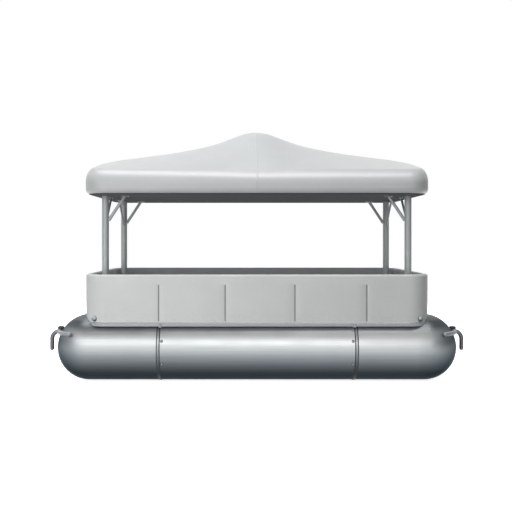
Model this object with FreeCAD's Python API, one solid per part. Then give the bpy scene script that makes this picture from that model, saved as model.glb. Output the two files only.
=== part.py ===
import FreeCAD, Part
import math
import os

from FreeCAD import Vector

# Canopied family pontoon boat on two round floats.  Millimetres.
# X runs along the boat with the bow at +X, Y runs across with port at +Y, Z is up.
# The origin is at the middle of the length and width, at the height of the strap bottoms,
# where the boat stands.

# ---------------------------------------------------------------- driving dimensions

FIT_GAP = 0.3                    # between curved faces that seat on each other

# floats: round tubes with half-ball noses
FLOAT_LENGTH = 5700.0
FLOAT_DIAMETER = 940.0
FLOAT_SIDE_INSET = 385.0         # float axis inboard of the fence's outer face

# straps that tie each float to the fence lip
STRAP_STATION = 1370.0           # from the middle of the boat
STRAP_WIDTH = 40.0
STRAP_THICKNESS = 6.0
CLIP_WIDTH = 44.0
CLIP_THICKNESS = 14.0
CLIP_DROP = 12.0                 # how far the clip reaches below the lip
CLIP_OFFSET = 25.0               # the clip sits this far inboard of the strap

# mooring hooks: a bail that hugs the nose, and a bar that bends down in front of it
HOOK_ROD_DIAMETER = 60.0
HOOK_RISE = 222.0                # bail above the float axis
HOOK_BAIL_ANGLE = 60.0           # to each side of straight ahead
HOOK_BEND_RADIUS = 115.0
HOOK_BAR_LENGTH = 135.0          # straight part below the bend

# deck and the beams under it
INNER_BEAM_STATIONS = (-1000.0, 0.0, 1000.0)    # the end beams lie under the posts
BEAM_WIDTH = 60.0
BEAM_DEPTH = 100.0
BEAM_OVER_FLOAT = 18.7           # metal left between the float crown and the deck
DECK_THICKNESS = 25.0

# fence: a ring wall with rounded corners
FENCE_LENGTH = 4860.0
FENCE_WIDTH = 2500.0
FENCE_HEIGHT = 535.0             # above the deck
FENCE_CORNER_RADIUS = 320.0      # outer face
WALL_THICKNESS = 70.0
SKIRT_THICKNESS = 35.0
SKIRT_DROP = 183.0               # below the deck top
RIM_RADIUS = 28.0
LIP_REACH = 12.0
LIP_HEIGHT = 43.0
SEAM_STATIONS = (-1368.0, -445.0, 522.0, 1518.0)
SEAM_WIDTH = 14.0
SEAM_DEPTH = 5.0
SEAM_BELOW_RIM = 138.0           # the seams stop this far below the rim
SCRIBE_GAP = 3.0                 # between the skirt and the strap's outer face

# gates in the end walls, opening inward
GATE_OPENING = 800.0
GATE_HINGE_GAP = 6.0
GATE_LATCH_GAP = 12.0
GATE_FLOOR_GAP = 12.0
HINGE_PIN_RADIUS = 8.0
HINGE_PIN_CLEARANCE = 0.05
KNUCKLE_RADIUS = 16.0
KNUCKLE_HEIGHT = 30.0
KNUCKLE_GAP = 0.5
KNUCKLE_STANDOFF = 1.0           # between the knuckle and the wall face
LEAF_THICKNESS = 4.0
LEAF_WIDTH = 62.0
LEAF_RELIEF = 2.0                # between a leaf and the other leaf's knuckle
HINGE_FOOT_HEIGHTS = (80.0, 350.0)   # foot of each hinge above the deck
LATCH_HEIGHT = 320.0             # above the deck
LATCH_INSET = 70.0               # from the gate's free edge
LATCH_ROSE_RADIUS = 30.0
LATCH_ROSE_THICKNESS = 12.0
LATCH_LEVER = (14.0, 110.0, 22.0)    # thickness, length, height

# canopy and what carries it
CANOPY_END_OVERHANG = 10.0       # past the fence
CANOPY_CORNER_RADIUS = 320.0
CANOPY_CLEARANCE = 1652.0        # deck top to canopy underside
CANOPY_BOTTOM_RADIUS = 40.0
SHOULDER_HEIGHT = 314.0          # corner of valance and slope, above the underside
SHOULDER_RADIUS = 100.0
RIDGE_RADIUS = 150.0
# distance from the middle of the boat, height of the ridge above the underside
RIDGE_PROFILE = (
    (0.0, 1024.0),
    (200.0, 995.0),
    (440.0, 901.0),
    (760.0, 800.0),
    (1100.0, 727.0),
)
RIDGE_END_RUN = 680.0            # straight slope of the ridge at each end
RIDGE_END_HEIGHTS = (631.0, 532.0)   # where that slope starts and ends
CREST_RADIUS = 60.0              # rounds the top edge of the ends and corners
LINER_THICKNESS = 20.0
LINER_INSET = 45.0

POST_END_INSET = 240.0           # post axis inboard of the fence's end face
POST_SIDE_INSET = 450.0          # post axis inboard of the fence's side face
POST_DIAMETER = 100.0
POST_BASE_SIDE = 200.0
POST_BASE_THICKNESS = 12.0
BRACE_FOOT_DROP = 426.0          # below the canopy underside
LONG_BRACE_DIAMETER = 46.0
LONG_BRACE_RUN = 281.0
CROSS_BRACE_DIAMETER = 34.0
CROSS_BRACE_RUN = 450.0

# side benches
BENCH_POST_GAP = 240.0           # between a bench's end and the post's base plate
BENCH_DEPTH = 480.0
BENCH_BASE_HEIGHT = 300.0
CUSHION_THICKNESS = 80.0
CUSHION_RADIUS = 25.0
CUSHION_OVERHANG = 15.0

# ---------------------------------------------------------------- derived sizes

HALF_LENGTH = FENCE_LENGTH / 2
HALF_WIDTH = FENCE_WIDTH / 2
FLOAT_RADIUS = FLOAT_DIAMETER / 2
FLOAT_Y = HALF_WIDTH - FLOAT_SIDE_INSET
FLOAT_Z = FLOAT_RADIUS + FIT_GAP + STRAP_THICKNESS
BEAM_TOP = FLOAT_Z + FLOAT_RADIUS + BEAM_OVER_FLOAT
DECK_TOP = BEAM_TOP + DECK_THICKNESS
SKIRT_BOTTOM = DECK_TOP - SKIRT_DROP
RIM_TOP = DECK_TOP + FENCE_HEIGHT
SEAM_TOP = RIM_TOP - SEAM_BELOW_RIM
CORNER_X = HALF_LENGTH - FENCE_CORNER_RADIUS
CORNER_Y = HALF_WIDTH - FENCE_CORNER_RADIUS
INNER_Y = HALF_WIDTH - WALL_THICKNESS
INNER_X = HALF_LENGTH - WALL_THICKNESS
GATE_HALF = GATE_OPENING / 2
CANOPY_BOTTOM = DECK_TOP + CANOPY_CLEARANCE
CANOPY_HALF_LENGTH = HALF_LENGTH + CANOPY_END_OVERHANG
POST_X = HALF_LENGTH - POST_END_INSET
POST_Y = HALF_WIDTH - POST_SIDE_INSET
BENCH_HALF_LENGTH = POST_X - POST_BASE_SIDE / 2 - BENCH_POST_GAP
HINGE_X = INNER_X - KNUCKLE_RADIUS - KNUCKLE_STANDOFF
HINGE_Y = GATE_HALF - GATE_HINGE_GAP / 2

CANOPY_EDGE_TOLERANCE = 0.5

ORIGIN = Vector(0, 0, 0)
AXIS_X = Vector(1, 0, 0)
AXIS_Y = Vector(0, 1, 0)
AXIS_Z = Vector(0, 0, 1)

# name, side of the boat (port +1), end of the boat (bow +1)
CORNERS = (
    ("port_bow", 1, 1),
    ("port_stern", 1, -1),
    ("starboard_bow", -1, 1),
    ("starboard_stern", -1, -1),
)
SIDES = (("port", 1), ("starboard", -1))
ENDS = (("bow", 1), ("stern", -1))


# ---------------------------------------------------------------- helpers

def write(name, shape):
    """Save one sub-part under its own name."""
    if not shape.isValid():
        raise ValueError(name + " is not a valid solid")
    shape.exportStep("parts/" + name + ".step")


def box(x0, x1, y0, y1, z0, z1):
    """A box between two corners."""
    return Part.makeBox(x1 - x0, y1 - y0, z1 - z0, Vector(x0, y0, z0))


def rod(start, end, radius):
    """A round bar between two points."""
    run = end - start
    return Part.makeCylinder(radius, run.Length, start, run)


def arc(start, middle, end):
    """An arc edge through three points."""
    return Part.Arc(start, middle, end).toShape()


def line(start, end):
    """A straight edge."""
    return Part.LineSegment(start, end).toShape()


def face(edges):
    """The flat face inside a loop of edges."""
    return Part.Face(Part.Wire(edges))


def polygon(points):
    """The flat face inside a loop of points."""
    return Part.Face(Part.makePolygon(list(points) + [points[0]]))


def fused(shapes):
    """One solid from several that touch."""
    whole = shapes[0]
    for shape in shapes[1:]:
        whole = whole.fuse(shape)
    return whole.removeSplitter()


def placed(shape, side, end):
    """A shape made for port bow, mirrored to its own corner."""
    if end < 0:
        shape = shape.mirror(ORIGIN, AXIS_X)
    if side < 0:
        shape = shape.mirror(ORIGIN, AXIS_Y)
    return shape


def rounded_plan(half_length, half_width, radius, z0, z1):
    """An upright prism on a rounded rectangle."""
    cx = half_length - radius
    cy = half_width - radius
    edges = []
    # corner centre, angle where its arc starts
    for x, y, start in ((cx, cy, 0), (-cx, cy, 90), (-cx, -cy, 180), (cx, -cy, 270)):
        points = []
        for turn in (0, 45, 90):
            angle = math.radians(start + turn)
            points.append(Vector(x + radius * math.cos(angle), y + radius * math.sin(angle), z0))
        if edges:
            edges.append(line(last, points[0]))
        else:
            first = points[0]
        edges.append(arc(*points))
        last = points[2]
    edges.append(line(last, first))
    return face(edges).extrude(Vector(0, 0, z1 - z0))


# ---------------------------------------------------------------- floats, straps, hooks

def float_body(grow=0.0):
    """The port float, or a larger copy that is used to cut clearance around it."""
    radius = FLOAT_RADIUS + grow
    straight = FLOAT_LENGTH / 2 - FLOAT_RADIUS
    knee = radius * math.sqrt(0.5)
    bow = (Vector(straight + radius, 0, 0), Vector(straight + knee, 0, knee), Vector(straight, 0, radius))
    stern = [Vector(-point.x, 0, point.z) for point in reversed(bow)]
    profile = face([line(stern[2], bow[0]), arc(*bow), line(bow[2], stern[0]), arc(*stern)])
    tube = profile.revolve(ORIGIN, AXIS_X, 360)
    tube.translate(Vector(0, FLOAT_Y, FLOAT_Z))
    return tube


def strap():
    """The port bow strap, a band round the float with a clip over the fence lip."""
    start = Vector(STRAP_STATION - STRAP_WIDTH / 2, FLOAT_Y, FLOAT_Z)
    inner = FLOAT_RADIUS + FIT_GAP
    outer = inner + STRAP_THICKNESS
    band = Part.makeCylinder(outer, STRAP_WIDTH, start, AXIS_X)
    lip_face = HALF_WIDTH + LIP_REACH
    x1 = STRAP_STATION
    x0 = x1 - CLIP_OFFSET - CLIP_WIDTH / 2
    z0 = SKIRT_BOTTOM - CLIP_DROP
    skirt_face = HALF_WIDTH - SKIRT_THICKNESS
    clip = box(x0, x1, skirt_face, lip_face + CLIP_THICKNESS, z0, SKIRT_BOTTOM + LIP_HEIGHT)
    clip = clip.cut(box(x0, x1, skirt_face, lip_face, SKIRT_BOTTOM, RIM_TOP))
    tongue = box(x0, x1, FLOAT_Y, skirt_face, z0, SKIRT_BOTTOM)
    whole = fused([band, clip, tongue])
    bore = Part.makeCylinder(inner, 4 * STRAP_WIDTH, start - AXIS_X * 2 * STRAP_WIDTH, AXIS_X)
    return whole.cut(bore).removeSplitter()


def bent_rod(start, along, centre, axis, angle, radius):
    """A round bar that leaves a point along a direction and turns about an axis."""
    disc = Part.Face(Part.Wire(Part.makeCircle(radius, start, along)))
    return disc.revolve(centre, axis, angle)


def hook():
    """The port bow mooring hook."""
    radius = HOOK_ROD_DIAMETER / 2
    bail_z = FLOAT_Z + HOOK_RISE
    nose = Vector(FLOAT_LENGTH / 2 - FLOAT_RADIUS, FLOAT_Y, bail_z)
    bail_radius = math.sqrt((FLOAT_RADIUS + radius + FIT_GAP) ** 2 - HOOK_RISE ** 2)
    angle = math.radians(HOOK_BAIL_ANGLE)
    ends = []
    for side in (-1, 1):
        ends.append(nose + Vector(math.cos(angle), side * math.sin(angle), 0) * bail_radius)
    along = Vector(math.sin(angle), math.cos(angle), 0)
    front = nose + AXIS_X * bail_radius
    bend_centre = front - AXIS_Z * HOOK_BEND_RADIUS
    bar_top = bend_centre + AXIS_X * HOOK_BEND_RADIUS
    bar_end = bar_top - AXIS_Z * HOOK_BAR_LENGTH
    return fused([
        bent_rod(ends[0], along, nose, AXIS_Z, 2 * HOOK_BAIL_ANGLE, radius),
        Part.makeSphere(radius, ends[0]),
        Part.makeSphere(radius, ends[1]),
        bent_rod(front, AXIS_X, bend_centre, AXIS_Y, 90, radius),
        rod(bar_top, bar_end, radius),
        Part.makeSphere(radius, bar_end),
    ])


# ---------------------------------------------------------------- deck and beams

def under_deck(z0, z1):
    """The room inside the skirt."""
    inset = SKIRT_THICKNESS + FIT_GAP
    return rounded_plan(HALF_LENGTH - inset, HALF_WIDTH - inset, FENCE_CORNER_RADIUS - inset, z0, z1)


def beam(station, floats):
    """One cross beam, scribed over both floats."""
    half = BEAM_WIDTH / 2
    bar = box(station - half, station + half, -HALF_WIDTH, HALF_WIDTH, BEAM_TOP - BEAM_DEPTH, BEAM_TOP)
    bar = bar.common(under_deck(BEAM_TOP - BEAM_DEPTH, BEAM_TOP))
    return bar.cut(floats)


def deck():
    """The deck plate."""
    return under_deck(BEAM_TOP, DECK_TOP)


# ---------------------------------------------------------------- fence

def wall_section(top, foot=SKIRT_BOTTOM, rounded=True):
    """The wall's outline across its thickness: x is out from the outer face, z is height."""
    def at(x, z):
        return Vector(x, 0, z)

    edges = []
    if foot < DECK_TOP:
        lip_top = foot + LIP_HEIGHT
        corners = [
            at(-SKIRT_THICKNESS, DECK_TOP),
            at(-SKIRT_THICKNESS, foot),
            at(LIP_REACH, foot),
            at(LIP_REACH, lip_top),
            at(0, lip_top + LIP_REACH),
        ]
    else:
        corners = [at(-WALL_THICKNESS, foot), at(0, foot)]
    if rounded:
        bulge = RIM_RADIUS * (1 - math.sqrt(0.5))
        outer = [at(0, top - RIM_RADIUS), at(-bulge, top - bulge), at(-RIM_RADIUS, top)]
        inner = [
            at(-WALL_THICKNESS + RIM_RADIUS, top),
            at(-WALL_THICKNESS + bulge, top - bulge),
            at(-WALL_THICKNESS, top - RIM_RADIUS),
        ]
        corners.append(outer[0])
        for start, end in zip(corners, corners[1:]):
            edges.append(line(start, end))
        edges.append(arc(*outer))
        edges.append(line(outer[2], inner[0]))
        edges.append(arc(*inner))
        if foot < DECK_TOP:
            edges.append(line(inner[2], at(-WALL_THICKNESS, DECK_TOP)))
            edges.append(line(at(-WALL_THICKNESS, DECK_TOP), corners[0]))
        else:
            edges.append(line(inner[2], corners[0]))
        return face(edges)
    corners.append(at(0, top))
    return polygon(corners)


def end_wall(section, y0, y1):
    """A straight run of the bow wall between two distances from the centre line."""
    run = section.extrude(Vector(0, y1 - y0, 0))
    run.translate(Vector(HALF_LENGTH, y0, 0))
    return run


def side_wall(section, x0, x1):
    """A straight run of the port wall between two stations."""
    run = section.extrude(Vector(0, x1 - x0, 0))
    run.rotate(ORIGIN, AXIS_Z, 90)
    run.translate(Vector(x1, HALF_WIDTH, 0))
    return run


def seam(station):
    """The groove where two side panels meet."""
    half = SEAM_WIDTH / 2
    foot = SKIRT_BOTTOM + LIP_HEIGHT + LIP_REACH
    y = HALF_WIDTH - SEAM_DEPTH
    return box(station - half, station + half, y, HALF_WIDTH + LIP_REACH, foot, SEAM_TOP)


def scribed(panel):
    """A port panel with its skirt cut clear of the strapped float."""
    return panel.cut(float_body(FIT_GAP + STRAP_THICKNESS + SCRIBE_GAP))


def corner_panel(seam_station):
    """The port bow corner of the fence, from the first side seam to the gate."""
    section = wall_section(RIM_TOP)
    turned = section.copy()
    turned.translate(Vector(FENCE_CORNER_RADIUS, 0, 0))
    turned = turned.revolve(ORIGIN, AXIS_Z, 90)
    turned.translate(Vector(CORNER_X, CORNER_Y, 0))
    panel = fused([
        side_wall(section, seam_station, CORNER_X),
        turned,
        end_wall(section, GATE_HALF, CORNER_Y),
    ])
    return scribed(panel.cut(seam(seam_station))).removeSplitter()


def side_panel(x0, x1):
    """A port side panel between two seams."""
    panel = side_wall(wall_section(RIM_TOP), x0, x1)
    return scribed(panel.cut(seam(x0)).cut(seam(x1)))


def threshold():
    """The skirt under the bow gate."""
    return end_wall(wall_section(DECK_TOP, rounded=False), -GATE_HALF, GATE_HALF)


# ---------------------------------------------------------------- gates

def knuckle(foot, height, radius):
    """A round of the bow gate's hinge, on the hinge axis."""
    return Part.makeCylinder(radius, height, Vector(HINGE_X, HINGE_Y, foot), AXIS_Z)


def leaf(y0, y1, foot, height):
    """A flat of a hinge leaf on the wall's inner face."""
    return box(INNER_X - LEAF_THICKNESS, INNER_X, y0, y1, foot, foot + height)


def fixed_hinge(foot):
    """The leaf on the jamb, with two knuckles and the pin."""
    reach = HINGE_Y + KNUCKLE_RADIUS + LEAF_RELIEF
    height = 3 * KNUCKLE_HEIGHT
    pieces = [leaf(reach, HINGE_Y + LEAF_WIDTH, foot, height)]
    for step in (0, 2):
        z = foot + step * KNUCKLE_HEIGHT
        pieces.append(knuckle(z, KNUCKLE_HEIGHT, KNUCKLE_RADIUS))
        pieces.append(leaf(HINGE_Y + GATE_HINGE_GAP, reach, z, KNUCKLE_HEIGHT))
    pieces.append(knuckle(foot, height, HINGE_PIN_RADIUS))
    return fused(pieces)


def moving_hinge(foot):
    """The leaf on the gate, with one bored knuckle."""
    reach = HINGE_Y - KNUCKLE_RADIUS - LEAF_RELIEF
    z = foot + KNUCKLE_HEIGHT + KNUCKLE_GAP
    height = KNUCKLE_HEIGHT - 2 * KNUCKLE_GAP
    whole = fused([
        leaf(HINGE_Y - LEAF_WIDTH, reach, foot, 3 * KNUCKLE_HEIGHT),
        leaf(reach, HINGE_Y - GATE_HINGE_GAP, z, height),
        knuckle(z, height, KNUCKLE_RADIUS),
    ])
    return whole.cut(knuckle(z, height, HINGE_PIN_RADIUS + HINGE_PIN_CLEARANCE))


def gate():
    """The bow gate with its two hinge leaves."""
    section = wall_section(RIM_TOP, DECK_TOP + GATE_FLOOR_GAP)
    panel = end_wall(section, -GATE_HALF + GATE_LATCH_GAP, GATE_HALF - GATE_HINGE_GAP)
    leaves = [moving_hinge(DECK_TOP + height) for height in HINGE_FOOT_HEIGHTS]
    return fused([panel] + leaves)


def gate_hinge():
    """Both fixed leaves of the bow gate."""
    return Part.makeCompound([fixed_hinge(DECK_TOP + height) for height in HINGE_FOOT_HEIGHTS])


def latch():
    """The latch lever on the inside of the bow gate."""
    thickness, length, height = LATCH_LEVER
    y = -GATE_HALF + GATE_LATCH_GAP + LATCH_INSET
    z = DECK_TOP + LATCH_HEIGHT
    rose = Part.makeCylinder(LATCH_ROSE_RADIUS, LATCH_ROSE_THICKNESS, Vector(INNER_X, y, z), -AXIS_X)
    x = INNER_X - LATCH_ROSE_THICKNESS
    lever = box(x - thickness, x, y - height / 2, y + length, z - height / 2, z + height / 2)
    return fused([rose, lever])


def at_end(shape, end):
    """A bow gate piece, turned half a turn for the stern."""
    turned = shape.copy()
    if end < 0:
        turned.rotate(ORIGIN, AXIS_Z, 180)
    return turned


# ---------------------------------------------------------------- canopy, posts, braces

def canopy_section(station, ridge):
    """The canopy's outline across the boat at one station."""
    half = HALF_WIDTH
    corner_z = CANOPY_BOTTOM + SHOULDER_HEIGHT
    ridge_centre = CANOPY_BOTTOM + ridge - RIDGE_RADIUS
    rise = ridge_centre - corner_z
    slope = math.atan2(rise, half) + math.asin(RIDGE_RADIUS / math.hypot(rise, half))
    setback = SHOULDER_RADIUS * math.tan((math.pi / 2 - slope) / 2)
    bisector = (math.pi / 2 - slope) / 2
    low = CANOPY_BOTTOM
    edge = CANOPY_BOTTOM_RADIUS
    knee = edge * (1 - math.sqrt(0.5))

    def at(y, z):
        return Vector(station, y, z)

    # port half, from the underside up to the ridge
    port = {
        "under": at(half - edge, low),
        "hem": at(half - knee, low + knee),
        "side": at(half, low + edge),
        "valance": at(half, corner_z - setback),
        "shoulder": at(
            half - SHOULDER_RADIUS * (1 - math.cos(bisector)),
            corner_z - setback + SHOULDER_RADIUS * math.sin(bisector),
        ),
        "slope": at(half - setback * math.cos(slope), corner_z + setback * math.sin(slope)),
        "crest": at(RIDGE_RADIUS * math.sin(slope), ridge_centre + RIDGE_RADIUS * math.cos(slope)),
    }
    starboard = {name: at(-point.y, point.z) for name, point in port.items()}
    top = at(0, ridge_centre + RIDGE_RADIUS)
    return Part.Wire([
        line(starboard["under"], port["under"]),
        arc(port["under"], port["hem"], port["side"]),
        line(port["side"], port["valance"]),
        arc(port["valance"], port["shoulder"], port["slope"]),
        line(port["slope"], port["crest"]),
        arc(port["crest"], top, starboard["crest"]),
        line(starboard["crest"], starboard["slope"]),
        arc(starboard["slope"], starboard["shoulder"], starboard["valance"]),
        line(starboard["valance"], starboard["side"]),
        arc(starboard["side"], starboard["hem"], starboard["under"]),
    ])


def canopy_plan(inset, z0, z1):
    """The canopy's plan, drawn in by an inset."""
    return rounded_plan(
        CANOPY_HALF_LENGTH - inset,
        HALF_WIDTH - inset,
        CANOPY_CORNER_RADIUS - inset,
        z0, z1,
    )


def on_end_crest(edge):
    """Whether an edge lies along the top of the canopy's end faces and upright corners."""
    middle = edge.valueAt((edge.FirstParameter + edge.LastParameter) / 2)
    upright = edge.BoundBox.ZLength > edge.Length * 0.9
    if upright or middle.z < CANOPY_BOTTOM + SHOULDER_HEIGHT - SHOULDER_RADIUS:
        return False
    past_x = abs(middle.x) - (CANOPY_HALF_LENGTH - CANOPY_CORNER_RADIUS)
    past_y = abs(middle.y) - (HALF_WIDTH - CANOPY_CORNER_RADIUS)
    if past_x <= 0:
        return False
    reach = math.hypot(past_x, max(past_y, 0))
    return abs(reach - CANOPY_CORNER_RADIUS) < CANOPY_EDGE_TOLERANCE


def canopy_cover():
    """The stretched cover, with room for the liner underneath."""
    end_stations = (CANOPY_HALF_LENGTH - RIDGE_END_RUN, CANOPY_HALF_LENGTH)
    bow_half = RIDGE_PROFILE + tuple(zip(end_stations, RIDGE_END_HEIGHTS))
    stations = [(-x, ridge) for x, ridge in reversed(bow_half[1:])] + list(bow_half)
    wires = [canopy_section(x, ridge) for x, ridge in stations]
    tent = Part.makeLoft(wires, True, True)
    highest = CANOPY_BOTTOM + RIDGE_PROFILE[0][1] + RIDGE_RADIUS
    tent = tent.common(canopy_plan(0, CANOPY_BOTTOM, highest))
    tent = tent.makeFillet(CREST_RADIUS, [edge for edge in tent.Edges if on_end_crest(edge)])
    return tent.cut(canopy_plan(LINER_INSET, CANOPY_BOTTOM, CANOPY_BOTTOM + LINER_THICKNESS))


def canopy_liner():
    """The flat headliner."""
    return canopy_plan(LINER_INSET, CANOPY_BOTTOM, CANOPY_BOTTOM + LINER_THICKNESS)


def post():
    """The port bow post on its base plate."""
    foot = Vector(POST_X, POST_Y, DECK_TOP)
    half = POST_BASE_SIDE / 2
    plate = box(
        POST_X - half, POST_X + half,
        POST_Y - half, POST_Y + half,
        DECK_TOP, DECK_TOP + POST_BASE_THICKNESS,
    )
    return fused([plate, rod(foot, foot + AXIS_Z * CANOPY_CLEARANCE, POST_DIAMETER / 2)])


def braces():
    """The two braces from the port bow post up to the canopy."""
    foot = Vector(POST_X, POST_Y, CANOPY_BOTTOM - BRACE_FOOT_DROP)
    around = Part.makeCylinder(
        POST_DIAMETER / 2 + FIT_GAP, CANOPY_CLEARANCE,
        Vector(POST_X, POST_Y, DECK_TOP), AXIS_Z,
    )
    bars = []
    # way the brace leans, how far it runs, its diameter
    for way, run, diameter in (
        (-AXIS_X, LONG_BRACE_RUN, LONG_BRACE_DIAMETER),
        (-AXIS_Y, CROSS_BRACE_RUN, CROSS_BRACE_DIAMETER),
    ):
        head = foot + way * run + AXIS_Z * BRACE_FOOT_DROP
        past = head + (head - foot).normalize() * diameter
        bar = rod(foot, past, diameter / 2)
        bar = bar.cut(around).cut(canopy_plan(0, CANOPY_BOTTOM, CANOPY_BOTTOM + CANOPY_CLEARANCE))
        bars.append(bar)
    return Part.makeCompound(bars)


# ---------------------------------------------------------------- benches

def bench_base():
    """The port bench base."""
    half = BENCH_HALF_LENGTH
    return box(-half, half, INNER_Y - BENCH_DEPTH, INNER_Y, DECK_TOP, DECK_TOP + BENCH_BASE_HEIGHT)


def bench_cushion():
    """The port bench cushion."""
    half = BENCH_HALF_LENGTH
    low = DECK_TOP + BENCH_BASE_HEIGHT
    pad = box(
        -half - CUSHION_OVERHANG, half + CUSHION_OVERHANG,
        INNER_Y - BENCH_DEPTH - CUSHION_OVERHANG, INNER_Y,
        low, low + CUSHION_THICKNESS,
    )
    top = [edge for edge in pad.Edges if edge.BoundBox.ZMin > low + CUSHION_THICKNESS / 2]
    return pad.makeFillet(CUSHION_RADIUS, top)


# ---------------------------------------------------------------- the boat

def main():
    """Build and save every sub-part."""
    os.makedirs("parts", exist_ok=True)

    for side_name, side in SIDES:
        write(side_name + "_float", placed(float_body(), side, 1))
    for corner, side, end in CORNERS:
        write("strap_" + corner, placed(strap(), side, end))
        write("mooring_hook_" + corner, placed(hook(), side, end))

    port_cut = float_body(FIT_GAP)
    both_floats = port_cut.fuse(placed(port_cut, -1, 1))
    stations = (-POST_X,) + INNER_BEAM_STATIONS + (POST_X,)
    for number, station in enumerate(stations, 1):
        write("cross_beam_%d" % number, beam(station, both_floats))
    write("deck", deck())

    for corner, side, end in CORNERS:
        outermost = SEAM_STATIONS[-1] if end > 0 else -SEAM_STATIONS[0]
        write("fence_corner_" + corner, placed(corner_panel(outermost), side, end))
    for side_name, side in SIDES:
        for number, (x0, x1) in enumerate(zip(SEAM_STATIONS, SEAM_STATIONS[1:]), 1):
            write("fence_side_%s_%d" % (side_name, number), placed(side_panel(x0, x1), side, 1))

    for end_name, end in ENDS:
        write("threshold_" + end_name, at_end(threshold(), end))
        write("gate_" + end_name, at_end(gate(), end))
        write("gate_hinge_" + end_name, at_end(gate_hinge(), end))
        write("gate_latch_" + end_name, at_end(latch(), end))

    for corner, side, end in CORNERS:
        write("post_" + corner, placed(post(), side, end))
        write("braces_" + corner, placed(braces(), side, end))
    write("canopy_cover", canopy_cover())
    write("canopy_liner", canopy_liner())

    for side_name, side in SIDES:
        write("bench_base_" + side_name, placed(bench_base(), side, 1))
        write("bench_cushion_" + side_name, placed(bench_cushion(), side, 1))


main()
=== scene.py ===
"""Looks of a canopied pontoon boat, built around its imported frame.

Metres, in the boat's own frame: X to the bow, Y to port, Z up from where the straps stand.
"""
import logging
import math
from dataclasses import dataclass, field
from enum import Enum
from itertools import product
from typing import Callable, NamedTuple, Optional, Sequence

import bmesh
import bpy
from mathutils import Matrix, Vector
from mathutils.bvhtree import BVHTree


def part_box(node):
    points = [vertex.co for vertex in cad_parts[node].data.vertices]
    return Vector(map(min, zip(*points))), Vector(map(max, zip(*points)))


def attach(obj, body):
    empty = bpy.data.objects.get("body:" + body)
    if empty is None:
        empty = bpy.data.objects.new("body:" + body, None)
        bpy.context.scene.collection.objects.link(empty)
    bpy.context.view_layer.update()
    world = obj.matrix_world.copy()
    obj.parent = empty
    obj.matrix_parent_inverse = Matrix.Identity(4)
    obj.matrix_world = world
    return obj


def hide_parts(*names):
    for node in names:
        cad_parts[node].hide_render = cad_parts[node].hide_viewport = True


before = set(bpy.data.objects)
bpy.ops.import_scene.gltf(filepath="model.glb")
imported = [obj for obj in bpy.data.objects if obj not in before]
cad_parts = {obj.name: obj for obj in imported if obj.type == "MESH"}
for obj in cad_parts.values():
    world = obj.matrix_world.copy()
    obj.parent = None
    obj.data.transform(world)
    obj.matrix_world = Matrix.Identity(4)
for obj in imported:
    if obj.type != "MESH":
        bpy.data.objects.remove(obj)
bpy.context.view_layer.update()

LOG = logging.getLogger("pontoon_boat")

MM = 0.001
QUARTER_TURN = math.pi / 2
AHEAD = Vector((1.0, 0.0, 0.0))
ACROSS = Vector((0.0, 1.0, 0.0))
UP = Vector((0.0, 0.0, 1.0))

Pair = tuple[float, float]
Triple = tuple[float, float, float]
Outline = Sequence[Pair]
Stops = tuple[tuple[float, str], ...]
Socket = bpy.types.NodeSocket
Tree = bpy.types.NodeTree
Settings = dict[str | int, object]
RANGE_ENDS = ("From Min", "From Max", "To Min", "To Max")
SQUARE = ((-1, -1), (1, -1), (1, 1), (-1, 1))
SAME_POINT = 0.01 * MM  # points nearer to each other than this are one


class Side(Enum):
    """The two sides of the boat, as the sign of Y."""

    PORT = 1
    STARBOARD = -1


class End(Enum):
    """The two ends of the boat, as the sign of X."""

    BOW = 1
    STERN = -1


class Mark(Enum):
    """What a fence face is, which settles its finish."""

    SKIN = 0
    LINER = 1
    RAIL = 2


def quarter(side: Side, end: End) -> str:
    """The name of one quarter of the boat, such as port_bow."""
    return f"{side.name}_{end.name}".lower()


# ------------------------ finishes


def linear(colour: str) -> tuple[float, float, float, float]:
    """Turns an sRGB hex colour into the linear values that a shader takes.

    Args:
        colour: The colour as six hex digits after a hash.

    Returns:
        Red, green, blue and alpha, linear.
    """
    values = [int(colour[i : i + 2], 16) / 255 for i in (1, 3, 5)]
    bent = [v / 12.92 if v <= 0.04045 else ((v + 0.055) / 1.055) ** 2.4 for v in values]
    return (*bent, 1.0)


def add_node(tree: Tree, kind: str, settings: Optional[Settings] = None) -> bpy.types.Node:
    """Adds a node with its settings and links.

    Args:
        tree: The node tree.
        kind: The node's type, such as ShaderNodeBump.
        settings: Property or input names, or input numbers, each with a value, an sRGB hex colour
            or the socket that feeds it.

    Returns:
        The new node.
    """
    node = tree.nodes.new(kind)
    for key, value in (settings or {}).items():
        if isinstance(value, Socket):
            tree.links.new(value, node.inputs[key])
        elif isinstance(key, str) and hasattr(node, key):
            setattr(node, key, value)
        else:
            is_colour = isinstance(value, str) and value.startswith("#")
            node.inputs[key].default_value = linear(value) if is_colour else value
    return node


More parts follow.
